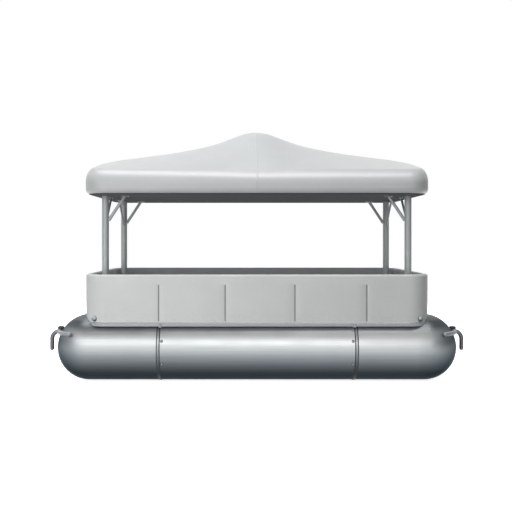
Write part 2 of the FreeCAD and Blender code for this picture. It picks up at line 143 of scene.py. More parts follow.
def mottle(
    tree: Tree,
    size: float,
    values: Pair = (0.0, 1.0),
    spread: Pair = (0.3, 0.7),
    stretch: Vector = Vector((1, 1, 1)),
    detail: float = 3.0,
) -> Socket:
    """Soft uneven patches in the object's own space.

    Args:
        tree: The node tree.
        size: Size of a patch, in metres.
        values: What the patches run between.
        spread: The part of the raw noise, from 0 to 1, over which they do so.
        stretch: How much longer a patch is along each axis.
        detail: How many finer layers it has.

    Returns:
        A value between the two.
    """
    place = add_node(tree, "ShaderNodeTexCoord").outputs["Object"]
    scale = Vector((1 / stretch.x, 1 / stretch.y, 1 / stretch.z)) / size
    mapped = add_node(tree, "ShaderNodeMapping", {"Scale": scale, "Vector": place}).outputs["Vector"]
    cloud = add_node(tree, "ShaderNodeTexNoise", {"Vector": mapped, "Scale": 1.0, "Detail": detail})
    ends = dict(zip(RANGE_ENDS, (*spread, *values)))
    return add_node(tree, "ShaderNodeMapRange", {"Value": cloud.outputs["Fac"], **ends}).outputs["Result"]


def position(tree: Tree, axis: str) -> Socket:
    """The place along X, Y or Z in the object's own space, in metres."""
    place = add_node(tree, "ShaderNodeTexCoord").outputs["Object"]
    return add_node(tree, "ShaderNodeSeparateXYZ", {0: place}).outputs[axis]


def fading(tree: Tree, heights: Pair, values: Pair) -> Socket:
    """A value that runs evenly between two values over two heights, which are in metres."""
    ends = dict(zip(RANGE_ENDS, (*heights, *values)))
    return add_node(tree, "ShaderNodeMapRange", {"Value": position(tree, "Z"), **ends}).outputs["Result"]


def tinted(tree: Tree, colour: Socket, place: Socket, stops: Stops) -> Socket:
    """A colour that is dulled by another one, which changes from place to place.

    Args:
        tree: The node tree.
        colour: The clean colour.
        place: Where the point lies, in metres.
        stops: Places, in order, with the colour that dulls each.

    Returns:
        The dulled colour.
    """
    first, last = stops[0][0], stops[-1][0]
    ends = dict(zip(RANGE_ENDS, (first, last, 0, 1)))
    share = add_node(tree, "ShaderNodeMapRange", {"Value": place, **ends}).outputs["Result"]
    ramp = add_node(tree, "ShaderNodeValToRGB", {0: share})
    elements = ramp.color_ramp.elements
    while len(elements) < len(stops):
        elements.new(0.5)
    for element, (at, tint) in zip(elements, stops):
        element.position, element.color = (at - first) / (last - first), linear(tint)
    settings = {"data_type": "RGBA", "blend_type": "MULTIPLY", 0: 1.0, 6: colour, 7: ramp.outputs[0]}
    return add_node(tree, "ShaderNodeMix", settings).outputs[2]


class Pattern(NamedTuple):
    """What a finish lays on its shader."""

    amount: Socket  # of the second colour, from 0 to 1
    height: Socket  # of the relief, from 0 to 1
    roughness: Optional[Socket] = None  # where it isn't the same all over


@dataclass(frozen=True)
class Finish:
    """A finish: its name, its colours and how it takes light."""

    name: str
    colour: str
    roughness: float
    metallic: float = 0.0
    second_colour: str = "#FFFFFF"  # which its pattern brings in
    painted_shade: Stops = ()  # height and colour of painted shade, from the floor up
    relief: Pair = (0.1 * MM, 0.3)  # how high it stands, and how much of it shows
    wear: Pair = (0.0, 0.0)  # what its roughness runs between, from its own value

    def make(self) -> bpy.types.Material:
        """Makes the finish's material, once.

        Returns:
            The material, ready for a slot.
        """
        known = bpy.data.materials.get(self.name)
        if known is not None:
            return known
        material = bpy.data.materials.new(self.name)
        material.use_nodes = True
        tree = material.node_tree
        tree.nodes.clear()
        pattern = self.pattern(tree)
        settings = {"data_type": "RGBA", 0: pattern.amount, 6: self.colour, 7: self.second_colour}
        # the colour with its painted shade and the marks of use
        shown = self.soiled_and_shaded(tree, add_node(tree, "ShaderNodeMix", settings).outputs[2])
        depth, strength = self.relief
        bump = add_node(
            tree, "ShaderNodeBump", {"Distance": depth, "Strength": strength, "Height": pattern.height}
        )
        shader = add_node(tree, "ShaderNodeBsdfPrincipled", {
            "Base Color": self.colour,
            "Roughness": self.roughness,
            "Metallic": self.metallic,
            "Normal": bump.outputs["Normal"],
            **self.constants(),
        })
        tree.links.new(shown, shader.inputs["Base Color"])
        if pattern.roughness is not None:
            tree.links.new(pattern.roughness, shader.inputs["Roughness"])
        add_node(tree, "ShaderNodeOutputMaterial", {"Surface": shader.outputs["BSDF"]})
        return material

    def soiled_and_shaded(self, tree: Tree, colour: Socket) -> Socket:
        """The finish's colour under its painted shade by height, where it has any."""
        return tinted(tree, colour, position(tree, "Z"), self.painted_shade) if self.painted_shade else colour

    def worn(self) -> Pair:
        """What the finish's roughness runs between."""
        return (self.roughness + self.wear[0], self.roughness + self.wear[1])

    def constants(self) -> Settings:
        """The finish's own shader values that are the same all over."""
        return {}

    def pattern(self, tree: Tree) -> Pattern:
        """The finish's own pattern, which each kind of finish gives."""
        raise NotImplementedError(self.name)


@dataclass(frozen=True)
class RolledMetal(Finish):
    """Metal sheet or strip as rolled: a satin metal with faint streaks along the roll."""

    relief: Pair = (0.1 * MM, 0.1)
    wear: Pair = (-0.04, 0.06)
    second_colour: str = "#C9CCCE"
    streak_width: float = 9 * MM
    streak_length: float = 900 * MM
    cloud_size: float = 350 * MM
    edge_tint: str = "#FFFFFF"
    scuffs_and_shade: Stops = ()  # place along X and colour of painted shade at the noses, from the stern forward
    nose_shade_fade: Pair = (0.60, 0.85)  # heights between which the painted nose shade draws back
    nose_shade_left: float = 0.9  # the share of its way from the middle that a place up there counts as

    def constants(self) -> Settings:
        """The metal's colour where it is seen edge on."""
        return {"Specular Tint": linear(self.edge_tint)}

    def pattern(self, tree: Tree) -> Pattern:
        """Rolling streaks and dull clouds.

        Args:
            tree: The material's node tree.

        Returns:
            The pattern.
        """
        long = Vector((self.streak_length / self.streak_width, 1, 1))
        streaks = mottle(tree, self.streak_width, stretch=long, detail=4)
        grain = mottle(tree, self.streak_width, spread=(0, 1), stretch=long, detail=4)
        return Pattern(streaks, grain, mottle(tree, self.cloud_size, values=self.worn()))

    def soiled_and_shaded(self, tree: Tree, colour: Socket) -> Socket:
        """The metal's colour under painted shade: by height, and at the noses, less so higher up.

        Args:
            tree: The material's node tree.
            colour: The clean colour.

        Returns:
            The dulled colour.
        """
        shaded = super().soiled_and_shaded(tree, colour)
        if not self.scuffs_and_shade:
            return shaded
        nearer = fading(tree, self.nose_shade_fade, (1, self.nose_shade_left))
        settings = {"operation": "MULTIPLY", 0: position(tree, "X"), 1: nearer}
        place = add_node(tree, "ShaderNodeMath", settings).outputs[0]
        return tinted(tree, shaded, place, self.scuffs_and_shade)


@dataclass(frozen=True)
class DrawnMetal(Finish):
    """Steel or aluminium drawn through a die: fine lines along it and soft handling marks."""

    wear: Pair = (-0.05, 0.08)
    second_colour: str = "#8C9091"  # of the handling marks
    mark_size: float = 60 * MM
    mark_most: float = 0.5  # how much of the mark's colour shows
    line_width: float = 2 * MM  # the real ones are about 0.2 mm, too fine to show
    line_length: float = 250 * MM
    runs_along: Vector = UP

    def pattern(self, tree: Tree) -> Pattern:
        """Draw lines that follow the bar, and handling marks.

        Args:
            tree: The material's node tree.

        Returns:
            The pattern.
        """
        ratio = self.line_length / self.line_width
        long = Vector([1 + (ratio - 1) * abs(way) for way in self.runs_along])
        marks = mottle(tree, self.mark_size, values=(0, self.mark_most))
        grain = mottle(tree, self.line_width, spread=(0, 1), stretch=long, detail=2)
        worn = mottle(tree, self.line_width, values=self.worn(), stretch=long, detail=2)
        return Pattern(marks, grain, worn)


@dataclass(frozen=True)
class PowderCoat(Finish):
    """Polyester powder coat on aluminium sheet: even colour, a faint orange peel and a soft gloss."""

    relief: Pair = (0.15 * MM, 0.4)
    gloss: float = 0.35
    peel_size: float = 5 * MM  # the real one is about 2 mm, too fine to show
    drift_size: float = 500 * MM
    drift_most: float = 0.12
    second_colour: str = "#9A9D9D"  # of the drift and of the dust
    dust_size: float = 30 * MM
    dust_heights: Pair = (800 * MM, 1000 * MM)  # where it is thickest and thinnest
    dust_most: Pair = (0.30, 0.03)  # how much of it shows there

    def constants(self) -> Settings:
        """The paint's gloss."""
        return {"Specular IOR Level": self.gloss}

    def pattern(self, tree: Tree) -> Pattern:
        """Orange peel and a slow drift of tone."""
        drift = mottle(tree, self.drift_size, values=(0, self.drift_most))
        return Pattern(drift, mottle(tree, self.peel_size, spread=(0, 1)))

    def soiled_and_shaded(self, tree: Tree, colour: Socket) -> Socket:
        """The paint's colour under dust that settles low on the wall.

        Args:
            tree: The material's node tree.
            colour: The clean colour.

        Returns:
            The dusty colour.
        """
        specks = mottle(tree, self.dust_size, spread=(0.45, 0.75), detail=6)
        low = fading(tree, self.dust_heights, self.dust_most)
        dust = add_node(tree, "ShaderNodeMath", {"operation": "MULTIPLY", 0: specks, 1: low}).outputs[0]
        settings = {"data_type": "RGBA", 0: dust, 6: colour, 7: self.second_colour}
        return add_node(tree, "ShaderNodeMix", settings).outputs[2]


@dataclass(frozen=True)
class CoatedCanvas(Finish):
    """Woven polyester under a PVC coat: a smooth sheet with the cloth's threads just showing."""

    relief: Pair = (0.25 * MM, 0.6)
    second_colour: str = "#BFC2C2"  # of the clouds
    cloud_size: float = 280 * MM
    cloud_most: float = 0.35
    thread: float = 5 * MM  # the real one is about 1 mm, too fine to show
    coat: float = 0.0  # 0 for a bare, matt cloth
    coat_roughness: float = 0.36
    bare_gloss: float = 0.15
    sheen: float = 0.1

    def constants(self) -> Settings:
        """The cloth's sheen, and its coat's gloss or its own.

        Returns:
            The shader's inputs with their values.
        """
        values: Settings = {"Sheen Weight": self.sheen, "Sheen Roughness": 0.5}
        if self.coat > 0:
            return {**values, "Coat Weight": self.coat, "Coat Roughness": self.coat_roughness}
        return {**values, "Specular IOR Level": self.bare_gloss}

    def pattern(self, tree: Tree) -> Pattern:
        """Warp and weft, and slow clouds of tone.

        Args:
            tree: The material's node tree.

        Returns:
            The pattern.
        """
        place = add_node(tree, "ShaderNodeTexCoord").outputs["Object"]
        scale = math.pi / (10 * self.thread)
        settings = {"Vector": place, "Scale": scale, "Distortion": 0.6, "Detail": 1.0}
        warp, weft = (
            add_node(tree, "ShaderNodeTexWave", {"bands_direction": way, **settings}).outputs["Fac"]
            for way in ("X", "Y")
        )
        weave = add_node(tree, "ShaderNodeMath", {"operation": "MULTIPLY", 0: warp, 1: weft}).outputs[0]
        clouds = mottle(tree, self.cloud_size, values=(0, self.cloud_most), detail=4)
        return Pattern(clouds, weave)


@dataclass(frozen=True)
class GrainedVinyl(Finish):
    """Marine vinyl: a soft skin with a leather grain and shinier, rubbed high spots."""

    relief: Pair = (0.5 * MM, 0.5)
    wear: Pair = (0.0, -0.12)
    second_colour: str = "#6F7476"  # where it is rubbed
    rubbed_size: float = 160 * MM
    rubbed_spread: Pair = (0.45, 0.75)
    rubbed_most: float = 0.5
    grain: float = 7 * MM  # the real one is about 2 mm, too fine to show

    def pattern(self, tree: Tree) -> Pattern:
        """Pebbled grain from cells, with rubbed patches.

        Args:
            tree: The material's node tree.

        Returns:
            The pattern.
        """
        place = add_node(tree, "ShaderNodeTexCoord").outputs["Object"]
        cells = add_node(tree, "ShaderNodeTexVoronoi", {"Vector": place, "Scale": 1 / self.grain})
        rubbed = mottle(tree, self.rubbed_size, (0, self.rubbed_most), self.rubbed_spread)
        worn = mottle(tree, self.rubbed_size, self.worn(), self.rubbed_spread)
        return Pattern(rubbed, cells.outputs["Distance"], worn)


@dataclass(frozen=True)
class MouldedPlastic(Finish):
    """Rotomoulded polyethylene: thick, a little waxy, with the mould's fine sandblast."""

    relief: Pair = (0.2 * MM, 0.4)
    blast_size: float = 3 * MM  # the real one is about 0.3 mm, too fine to show
    second_colour: str = "#9FA2A1"  # of the scuffs
    scuff_size: float = 45 * MM
    scuff_most: float = 0.6

    def pattern(self, tree: Tree) -> Pattern:
        """Mould texture and pale scuffs.

        Args:
            tree: The material's node tree.

        Returns:
            The pattern.
        """
        long = Vector((3, 1, 1))
        scuffs_and_shade = mottle(tree, self.scuff_size, (0, self.scuff_most), (0.5, 0.8), stretch=long, detail=8)
        return Pattern(scuffs_and_shade, mottle(tree, self.blast_size, spread=(0, 1)))


@dataclass(frozen=True)
class WovenVinyl(Finish):
    """Woven vinyl flooring: flat yarns of two greys crossing in a basket weave."""

    relief: Pair = (0.6 * MM, 0.5)
    second_colour: str = "#7C8082"  # of every other yarn
    yarn: float = 18 * MM  # the real one is about 4 mm, too fine to show
    trodden_size: float = 400 * MM
    trodden_amounts: Pair = (0.1, 0.6)

    def pattern(self, tree: Tree) -> Pattern:
        """Basket weave in two tones.

        Args:
            tree: The material's node tree.

        Returns:
            The pattern.
        """
        place = add_node(tree, "ShaderNodeTexCoord").outputs["Object"]
        settings = {"Vector": place, "Scale": 1 / self.yarn}
        check = add_node(tree, "ShaderNodeTexChecker", settings).outputs["Fac"]
        return Pattern(check, check)

    def soiled_and_shaded(self, tree: Tree, colour: Socket) -> Socket:
        """The yarns' colours, trodden duller in patches.

        Args:
            tree: The material's node tree.
            colour: The clean colour.

        Returns:
            The trodden colour.
        """
        trodden = mottle(tree, self.trodden_size, values=self.trodden_amounts)
        settings = {"data_type": "RGBA", 0: trodden, 6: colour, 7: self.colour}
        return add_node(tree, "ShaderNodeMix", settings).outputs[2]


@dataclass(frozen=True)
class MouldedRubber(Finish):
    """Moulded rubber or cured sealant: dull and dark, bloomed grey in patches."""

    second_colour: str = "#3A3D3F"  # of the bloom
    bloom_size: float = 25 * MM
    bloom_most: float = 0.7
    grit: float = 2 * MM  # the real one is about 0.2 mm, too fine to show

    def pattern(self, tree: Tree) -> Pattern:
        """Bloom on the surface."""
        bloom = mottle(tree, self.bloom_size, values=(0, self.bloom_most))
        return Pattern(bloom, mottle(tree, self.grit, spread=(0, 1)))


# Painted shade by height on the floats and straps: darker towards the bottom, and darker again from 0.73 m
# up, under the fence's edge and over the nose tops.
FLOAT_PAINTED_SHADE = (
    (0.0, "#30363A"), (0.085, "#454C50"), (0.16, "#464D51"), (0.207, "#585E62"), (0.257, "#696F73"),
    (0.308, "#7F8488"), (0.36, "#949A9D"), (0.413, "#ABAFB2"), (0.467, "#CCCFD1"), (0.52, "#F0F2F2"),
    (0.56, "#FFFFFF"), (0.73, "#FFFFFF"), (0.80, "#AAAFB3"), (0.86, "#9EA3A8"), (0.89, "#CCD0D3"),
    (0.95, "#D8DCDE"),
)
# Painted shade along X on the floats: darker towards the nose ends, the bow's sooner than the stern's.
NOSE_PAINTED_SHADE = (
    (-2.85, "#6C7276"), (-2.80, "#80868A"), (-2.76, "#93989B"), (-2.68, "#AFB3B6"), (-2.58, "#C8CBCD"),
    (-2.48, "#E4E6E8"), (-2.36, "#F2F3F3"), (0.50, "#FFFFFF"), (2.20, "#FFFFFF"), (2.40, "#E4E6E7"),
    (2.51, "#CBCED0"), (2.625, "#ACB0B3"), (2.74, "#888C90"), (2.82, "#72777B"),
)
# Painted shade by height on the hooks: dark down the drop, pale at the crown.
HOOK_PAINTED_SHADE = ((0.40, "#8E8E90"), (0.66, "#9B9B9D"), (0.695, "#C4C4C5"), (0.722, "#FFFFFF"))
# Painted shade by height on the corner bolts: dark under the dome, pale on top.
BOLT_PAINTED_SHADE = ((0.868, "#3E4244"), (0.895, "#7C8082"), (0.915, "#D4D6D6"), (0.95, "#FFFFFF"))

# Marine aluminium sheet: a broad satin glow, with painted shade that darkens it below and at the noses.
FLOAT_METAL = RolledMetal(
    "mill_aluminium", "#C5C7C8", 0.36, 0.9, second_colour="#BBBDBE",
    painted_shade=FLOAT_PAINTED_SHADE, scuffs_and_shade=NOSE_PAINTED_SHADE, edge_tint="#B2B8BC",
)
# Extruded aluminium: a duller, darker grey than the sheet.
BEAM_METAL = RolledMetal("extruded_aluminium", "#A0A3A5", 0.42, 0.9, second_colour="#8E9397")
# Stainless strip: a tighter glow than the float under it, with the same painted shade by height.
STRAP_STEEL = RolledMetal(
    "stainless_strap", "#A4A8AB", 0.34, 0.9, second_colour="#989CA0", painted_shade=FLOAT_PAINTED_SHADE
)
# Bent stainless bar: painted shade keeps the crown pale and darkens it down the drop.
HOOK_STEEL = DrawnMetal(
    "bent_stainless_bar", "#B4B6B9", 0.34, 0.35, second_colour="#9DA0A2", painted_shade=HOOK_PAINTED_SHADE
)
# Anodised tube: a soft grey with hardly any mirror in it.
POST_METAL = DrawnMetal("anodised_aluminium_tube", "#AFB3B3", 0.4, 0.2, second_colour="#A3A7A7")
# Polished stainless: the brightest metal aboard.
HARDWARE = DrawnMetal("polished_stainless", "#B5B7B9", 0.24, 1.0, second_colour="#9A9C9E")
# Zinc-plated steel: a dull grey metal.
BOLT_STEEL = DrawnMetal("zinc_plated_steel", "#8A8E90", 0.38, 0.7, second_colour="#74787A")
# Domed bolt heads: painted shade keeps them pale on top and dark under them.
BOLT_HEAD = DrawnMetal(
    "domed_bolt_steel", "#C4C8C8", 0.3, 0.3, second_colour="#B4B8B8", painted_shade=BOLT_PAINTED_SHADE
)
# Painted fence skin: a pale warm-grey wall with a soft gloss.
FENCE_PAINT = PowderCoat("powder_coated_sheet", "#D8DAD9", 0.55)
# Extruded rail under the skin: a touch darker and bluer than the paint.
RUB_RAIL = DrawnMetal(
    "extruded_rub_rail", "#A3A6AA", 0.4, 0.2, second_colour="#95989C", runs_along=AHEAD
)
# Vinyl inside the fence: matt and grained.
FENCE_LINER = GrainedVinyl(
    "fence_liner_vinyl", "#A3A7A6", 0.6, second_colour="#ABAFAE", grain=12 * MM
)
# Coated canvas: a pale sheet whose coat lights up along the crest.
CANOPY_CLOTH = CoatedCanvas(
    "coated_canopy_canvas", "#B6B9B9", 0.45, second_colour="#ABAEAE", coat=0.9
)
# Welded tape: the same cloth, with less coat.
CANOPY_TAPE = CoatedCanvas("welded_seam_tape", "#B7BABB", 0.45, second_colour="#A9ACAD", coat=0.3)
# Bare dark canvas under the cover: it takes the light without a gloss.
HEADLINER = CoatedCanvas(
    "headliner_canvas", "#4B5154", 0.95, second_colour="#565C5F", thread=9 * MM
)
# Woven flooring: dark and matt, with two greys that show near to.
DECK_FLOOR = WovenVinyl("woven_vinyl_flooring", "#5E6264", 0.8)
# Moulded bench shell: pale and a little waxy.
BENCH_SHELL = MouldedPlastic("rotomoulded_polyethylene", "#B9BCBB", 0.5)
# Cushion vinyl: dark grey, with a soft shine where it is rubbed.
CUSHION_VINYL = GrainedVinyl("marine_vinyl", "#5C6164", 0.5)
# Piping: darker than the cushion, so that its edges read.
PIPING_VINYL = GrainedVinyl("vinyl_piping", "#3F4447", 0.45, second_colour="#4A4F52")
# Rubber under the straps and bolts: nearly black and dull.
RUBBER = MouldedRubber("epdm_rubber", "#1D1F20", 0.75)
# Chafe rubber on the hooks: dark, a little green and smoother; its dark is painted shade where the bail
# crosses the nose.
CHAFE_PAINTED_SHADE = MouldedRubber("chafe_rubber_painted_shade", "#2A3433", 0.6, second_colour="#3A4645")
# Sealant in the seams: a grey line, darker than the paint.
SEALANT = MouldedRubber("polyurethane_sealant", "#7F8382", 0.65, second_colour="#8B8F8E")
WALL_FINISHES = [FENCE_PAINT, FENCE_LINER, RUB_RAIL]  # in the order of Mark


# ------------------------ shapes


def heading(turn: float) -> Vector:
    """The level direction at an angle from ahead, in radians."""
    return Vector((math.cos(turn), math.sin(turn), 0))


def evenly(total: float, steps: int) -> list[float]:
    """Values from nought to a total, in equal steps."""
    return [total * k / steps for k in range(steps + 1)]


@dataclass(frozen=True)
class Station:
    """Where one outline of a sweep lies: its origin, the ways of its two axes and its scale."""

    origin: Vector
    across: Vector
    up: Vector
    scale: float = 1.0

    def at(self, a: float, b: float) -> Vector:
        """The point a across and b up in this outline."""
        return self.origin + (self.across * a + self.up * b) * self.scale


def turn_outward(work: bmesh.types.BMesh) -> None:
    """Turns the faces of each closed part of a mesh outward, by the sign of the part's volume.

    Args:
        work: The mesh.
    """
    bmesh.ops.recalc_face_normals(work, faces=work.faces)
    left = set(work.faces)
    while left:
        part, waiting = [], [left.pop()]
        while waiting:
            face = waiting.pop()
            part.append(face)
            beside = {other for edge in face.edges for other in edge.link_faces} & left
            left -= beside
            waiting.extend(beside)
        if sum(face.calc_center_median().dot(face.normal) * face.calc_area() for face in part) < 0:
            bmesh.ops.reverse_faces(work, faces=part)


@dataclass
class Shape:
    """Points and faces of a piece, with the number of each face's finish."""

    points: list[Vector] = field(default_factory=list)
    faces: list[tuple[int, ...]] = field(default_factory=list)
    finish: list[int] = field(default_factory=list)

    def add(self, other: "Shape") -> "Shape":
        """Joins another shape to this one.

        Args:
            other: The shape that is added.

        Returns:
            This shape.
        """
        start = len(self.points)
        self.points.extend(other.points)
        self.faces.extend(tuple(i + start for i in f) for f in other.faces)
        self.finish.extend(other.finish)
        return self

    def marked(self, number: int) -> "Shape":
        """This shape with every face in one finish."""
        return Shape(self.points, self.faces, [number] * len(self.faces))

    def moved(self, way: Callable[[Vector], Vector]) -> "Shape":
        """This shape with each point sent through a function."""
        return Shape([way(p) for p in self.points], list(self.faces), list(self.finish))

    def flipped(self) -> "Shape":
        """This shape with its faces turned over."""
        return Shape(self.points, [tuple(reversed(f)) for f in self.faces], self.finish)

    def mirrored(self, side: Side, end: End = End.BOW) -> "Shape":
        """A port bow shape, mirrored to its own quarter of the boat."""
        shape = self.moved(lambda p: Vector((p.x * end.value, p.y * side.value, p.z)))
        return shape.flipped() if side.value * end.value < 0 else shape

    def facing(self, end: End) -> "Shape":
        """A bow shape, turned half a turn for the stern."""
        return self.moved(lambda p: Vector((p.x * end.value, p.y * end.value, p.z)))

    def piece(
        self,
        name: str,
        finishes: Sequence[Finish],
        slot: str,
        replaces: Sequence[str] = (),
        body: str = "boat",
        sharp: float = 35.0,
        closed: bool = True,
    ) -> bpy.types.Object:
        """Makes the object, dresses it and puts it on its body.

        Args:
            name: The piece's name.
            finishes: Its finishes, by number.
            slot: The record's material slot; not used.
            replaces: The frame's nodes that it stands for.
            body: The body that it rides on.
            sharp: Edges that turn by more degrees than this stay sharp.
            closed: Whether its faces close a volume, so that they can be turned outward.

        Returns:
            The object.
        """
        mesh = bpy.data.meshes.new(name)
        mesh.from_pydata(self.points, [], self.faces)
        mesh.polygons.foreach_set("material_index", self.finish)
        work = bmesh.new()
        work.from_mesh(mesh)
        bmesh.ops.remove_doubles(work, verts=work.verts, dist=SAME_POINT)
        if closed:
            turn_outward(work)
        work.to_mesh(mesh)
        work.free()
        for finish in finishes:
            mesh.materials.append(finish.make())
        mesh.polygons.foreach_set("use_smooth", [True] * len(mesh.polygons))
        mesh.set_sharp_from_angle(angle=math.radians(sharp))
        thing = bpy.data.objects.new(name, mesh)
        bpy.context.scene.collection.objects.link(thing)
        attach(thing, body)
        if replaces:
            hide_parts(*replaces)
        LOG.info("%s: %d faces, on %s", name, len(mesh.polygons), body)
        return thing


def rounded(corners: Sequence[Triple], steps: int = 5) -> Outline:
    """A closed outline with each corner turned by an arc.

    Args:
        corners: Across, up and radius of each corner.
        steps: Straight runs in each arc.

    Returns:
        The outline's points.
    """
    points: list[Pair] = []
    for i, (a, b, radius) in enumerate(corners):
        if radius <= 0:
            points.append((a, b))
            continue
        here = Vector((a, b))
        back = (Vector(corners[i - 1][:2]) - here).normalized()
        on = (Vector(corners[(i + 1) % len(corners)][:2]) - here).normalized()
        half = back.angle(on) / 2
        centre = here + (back + on).normalized() * (radius / math.sin(half))
        start = here + back * (radius / math.tan(half)) - centre
        end = here + on * (radius / math.tan(half)) - centre
        turn = math.pi - 2 * half
        for k in range(steps + 1):
            w = k / steps
            arm = (start * math.sin((1 - w) * turn) + end * math.sin(w * turn)) / math.sin(turn)
            points.append(tuple(centre + arm))
    return points


def rectangle(half_a: float, half_b: float, radius: float) -> Outline:
    """A rounded rectangle round the origin, run anticlockwise."""
    return rounded([(a * half_a, b * half_b, radius) for a, b in SQUARE])


def circle(radius: float, steps: int = 24) -> Outline:
    """A round outline."""
    return [(radius * math.cos(t), radius * math.sin(t)) for t in evenly(2 * math.pi, steps)[:-1]]


def skin(
    rows: Sequence[Sequence[Vector]],
    ring: bool = False,
    open_rows: bool = False,
    marks: Sequence[int] = (),
) -> Shape:
    """Faces between rows of points, all with as many points.

    Args:
        rows: The rows, in order.
        ring: Whether the last row joins the first.
        open_rows: Whether each row's ends stay apart.
        marks: The finish number of each edge of a row; all nought if empty.

    Returns:
        The shape, without ends.
    """
    width, shape = len(rows[0]), Shape([p for row in rows for p in row])
    for i in range(len(rows) if ring else len(rows) - 1):
        here, there = i * width, (i + 1) % len(rows) * width
        for j in range(width - 1 if open_rows else width):
            k = (j + 1) % width
            shape.faces.append((here + j, here + k, there + k, there + j))
            shape.finish.append(marks[j] if marks else 0)
    return shape


def loft(
    outlines: Sequence[Outline],
    stations: Sequence[Station],
    ring: bool = False,
    open_outline: bool = False,
    marks: Sequence[int] = (),
) -> Shape:
    """Joins one outline at each station, all with as many points.

    Args:
        outlines: The outline at each station.
        stations: Where each outline lies, in order.
        ring: Whether the last station joins the first, which leaves no ends to close.
        open_outline: Whether each outline's ends stay apart.
        marks: The finish number of each edge of the outlines; all nought if empty.

    Returns:
        The lofted shape.
    """
    rows = [[station.at(a, b) for a, b in outline] for outline, station in zip(outlines, stations)]
    shape = skin(rows, ring, open_outline, marks)
    if not ring and not open_outline:
        count, width = len(shape.points), len(rows[0])
        shape.faces += [tuple(reversed(range(width))), tuple(range(count - width, count))]
        shape.finish += [0, 0]
    return shape


def sweep(outline: Outline, stations: Sequence[Station], marks: Sequence[int] = ()) -> Shape:
    """Carries one outline through a row of stations and closes its ends."""
    return loft([outline] * len(stations), stations, marks=marks)


def shrunk(outline: Outline, inset: float) -> Outline:
    """A closed outline, run anticlockwise, drawn in by a small inset.

    Args:
        outline: The outline's points.
        inset: How far each point moves inward.

    Returns:
        The smaller outline.
    """
    count, points = len(outline), []
    for i, (a, b) in enumerate(outline):
        (pa, pb), (na, nb) = outline[i - 1], outline[(i + 1) % count]
        size = math.hypot(na - pa, nb - pb) or 1.0
        points.append((a - (nb - pb) / size * inset, b + (na - pa) / size * inset))
    return points


def edge_rounding(start: float, end: float, radius: float, steps: int = 4) -> list[Pair]:
    """Places along a bar whose two end edges are rounded, with the inset at each.

    Args:
        start: Where the bar starts.
        end: Where it ends.
        radius: The radius of its end edges.
        steps: Straight runs in each rounding.

    Returns:
        The places with their insets.
    """
    arc = [(radius * (1 - math.cos(t)), radius * (1 - math.sin(t))) for t in evenly(QUARTER_TURN, steps)]
    near = [(start + way, inset) for way, inset in arc]
    return near + [(end - way, inset) for way, inset in reversed(arc)]


def spun(profile: Outline, centre: Vector, axis: Vector, steps: int = 24, closed: bool = False) -> Shape:
    """Turns a profile round an axis.

    Args:
        profile: Distance from the axis and distance along it, for each point.
        centre: Where the axis starts.
        axis: Its direction.
        steps: Flats in a full turn.
        closed: Whether the profile is a closed loop.

    Returns:
        The turned shape.
    """
    out = axis.orthogonal().normalized()
    arms = [Matrix.Rotation(t, 3, axis) @ out for t in evenly(2 * math.pi, steps)[:-1]]
    stations = [Station(centre, arm, axis.normalized()) for arm in arms]
    return loft([profile] * steps, stations, ring=True, open_outline=not closed)


def arc_points(centre: Vector, arm: Vector, axis: Vector, degrees: float, steps: int) -> list[Vector]:
    """Points along an arc about an axis, from where the arm reaches, in even straight runs."""
    return [centre + Matrix.Rotation(t, 3, axis) @ arm for t in evenly(math.radians(degrees), steps)]


def bar(
    path: Sequence[Vector], radius: float, normal: Vector, round_ends: bool = True, sides: int = 24
) -> Shape:
    """A round bar along a flat path.

    Args:
        path: The bar's centre line, which lies in one plane.
        radius: The bar's radius.
        normal: The normal of that plane.
        round_ends: Whether its ends are domed.
        sides: Flats round the bar.

    Returns:
        The bar.
    """
    last = len(path) - 1
    ways = [(path[min(i + 1, last)] - path[max(i - 1, 0)]).normalized() for i in range(last + 1)]
    stations = [Station(p, w.cross(normal).normalized(), normal) for p, w in zip(path, ways)]
    if round_ends:
        tip, steps = 1e-4, 6  # a cap's last ring all but closes
        caps = [
            [
                Station(end.origin + way * radius * math.sin(t), end.across, end.up, max(math.cos(t), tip))
                for t in evenly(QUARTER_TURN, steps)[1:]
            ]
            for end, way in ((stations[0], -ways[0]), (stations[-1], ways[-1]))
        ]
        stations = list(reversed(caps[0])) + stations + caps[1]
    return sweep(circle(radius, sides), stations)


def dome(centre: Vector, axis: Vector, radius: float, rise: float, flange: float = 0.0) -> Shape:
    """A domed head with an optional flat washer under it.

    Args:
        centre: The middle of its foot.
        axis: The way that it faces.
        radius: The dome's radius.
        rise: The dome's height.
        flange: How far the washer reaches past the dome.

    Returns:
        The head.
    """
    sunk, edge = 2 * MM, 1 * MM
    thick = 2.5 * MM if flange > 0 else 0.0
    quarter_turn = reversed(evenly(QUARTER_TURN, 7))
    profile = [(radius * math.cos(t), rise * math.sin(t) + thick) for t in quarter_turn]
    if flange > 0:
        profile += [(radius + flange - edge, thick), (radius + flange, thick - edge)]
    profile += [(profile[-1][0], -sunk), (0.0, -sunk)]
    return spun(profile, centre, axis)


def domed_bolt(foot: Vector, axis: Vector, radius: float, rise: float, past: float) -> Shape:
    """A domed head, as finish 0, on a rubber washer, as finish 1, that reaches past it."""
    washer = dome(foot, axis, radius + past, 3 * MM).marked(1)
    return washer.add(dome(foot + axis * 1 * MM, axis, radius, rise))


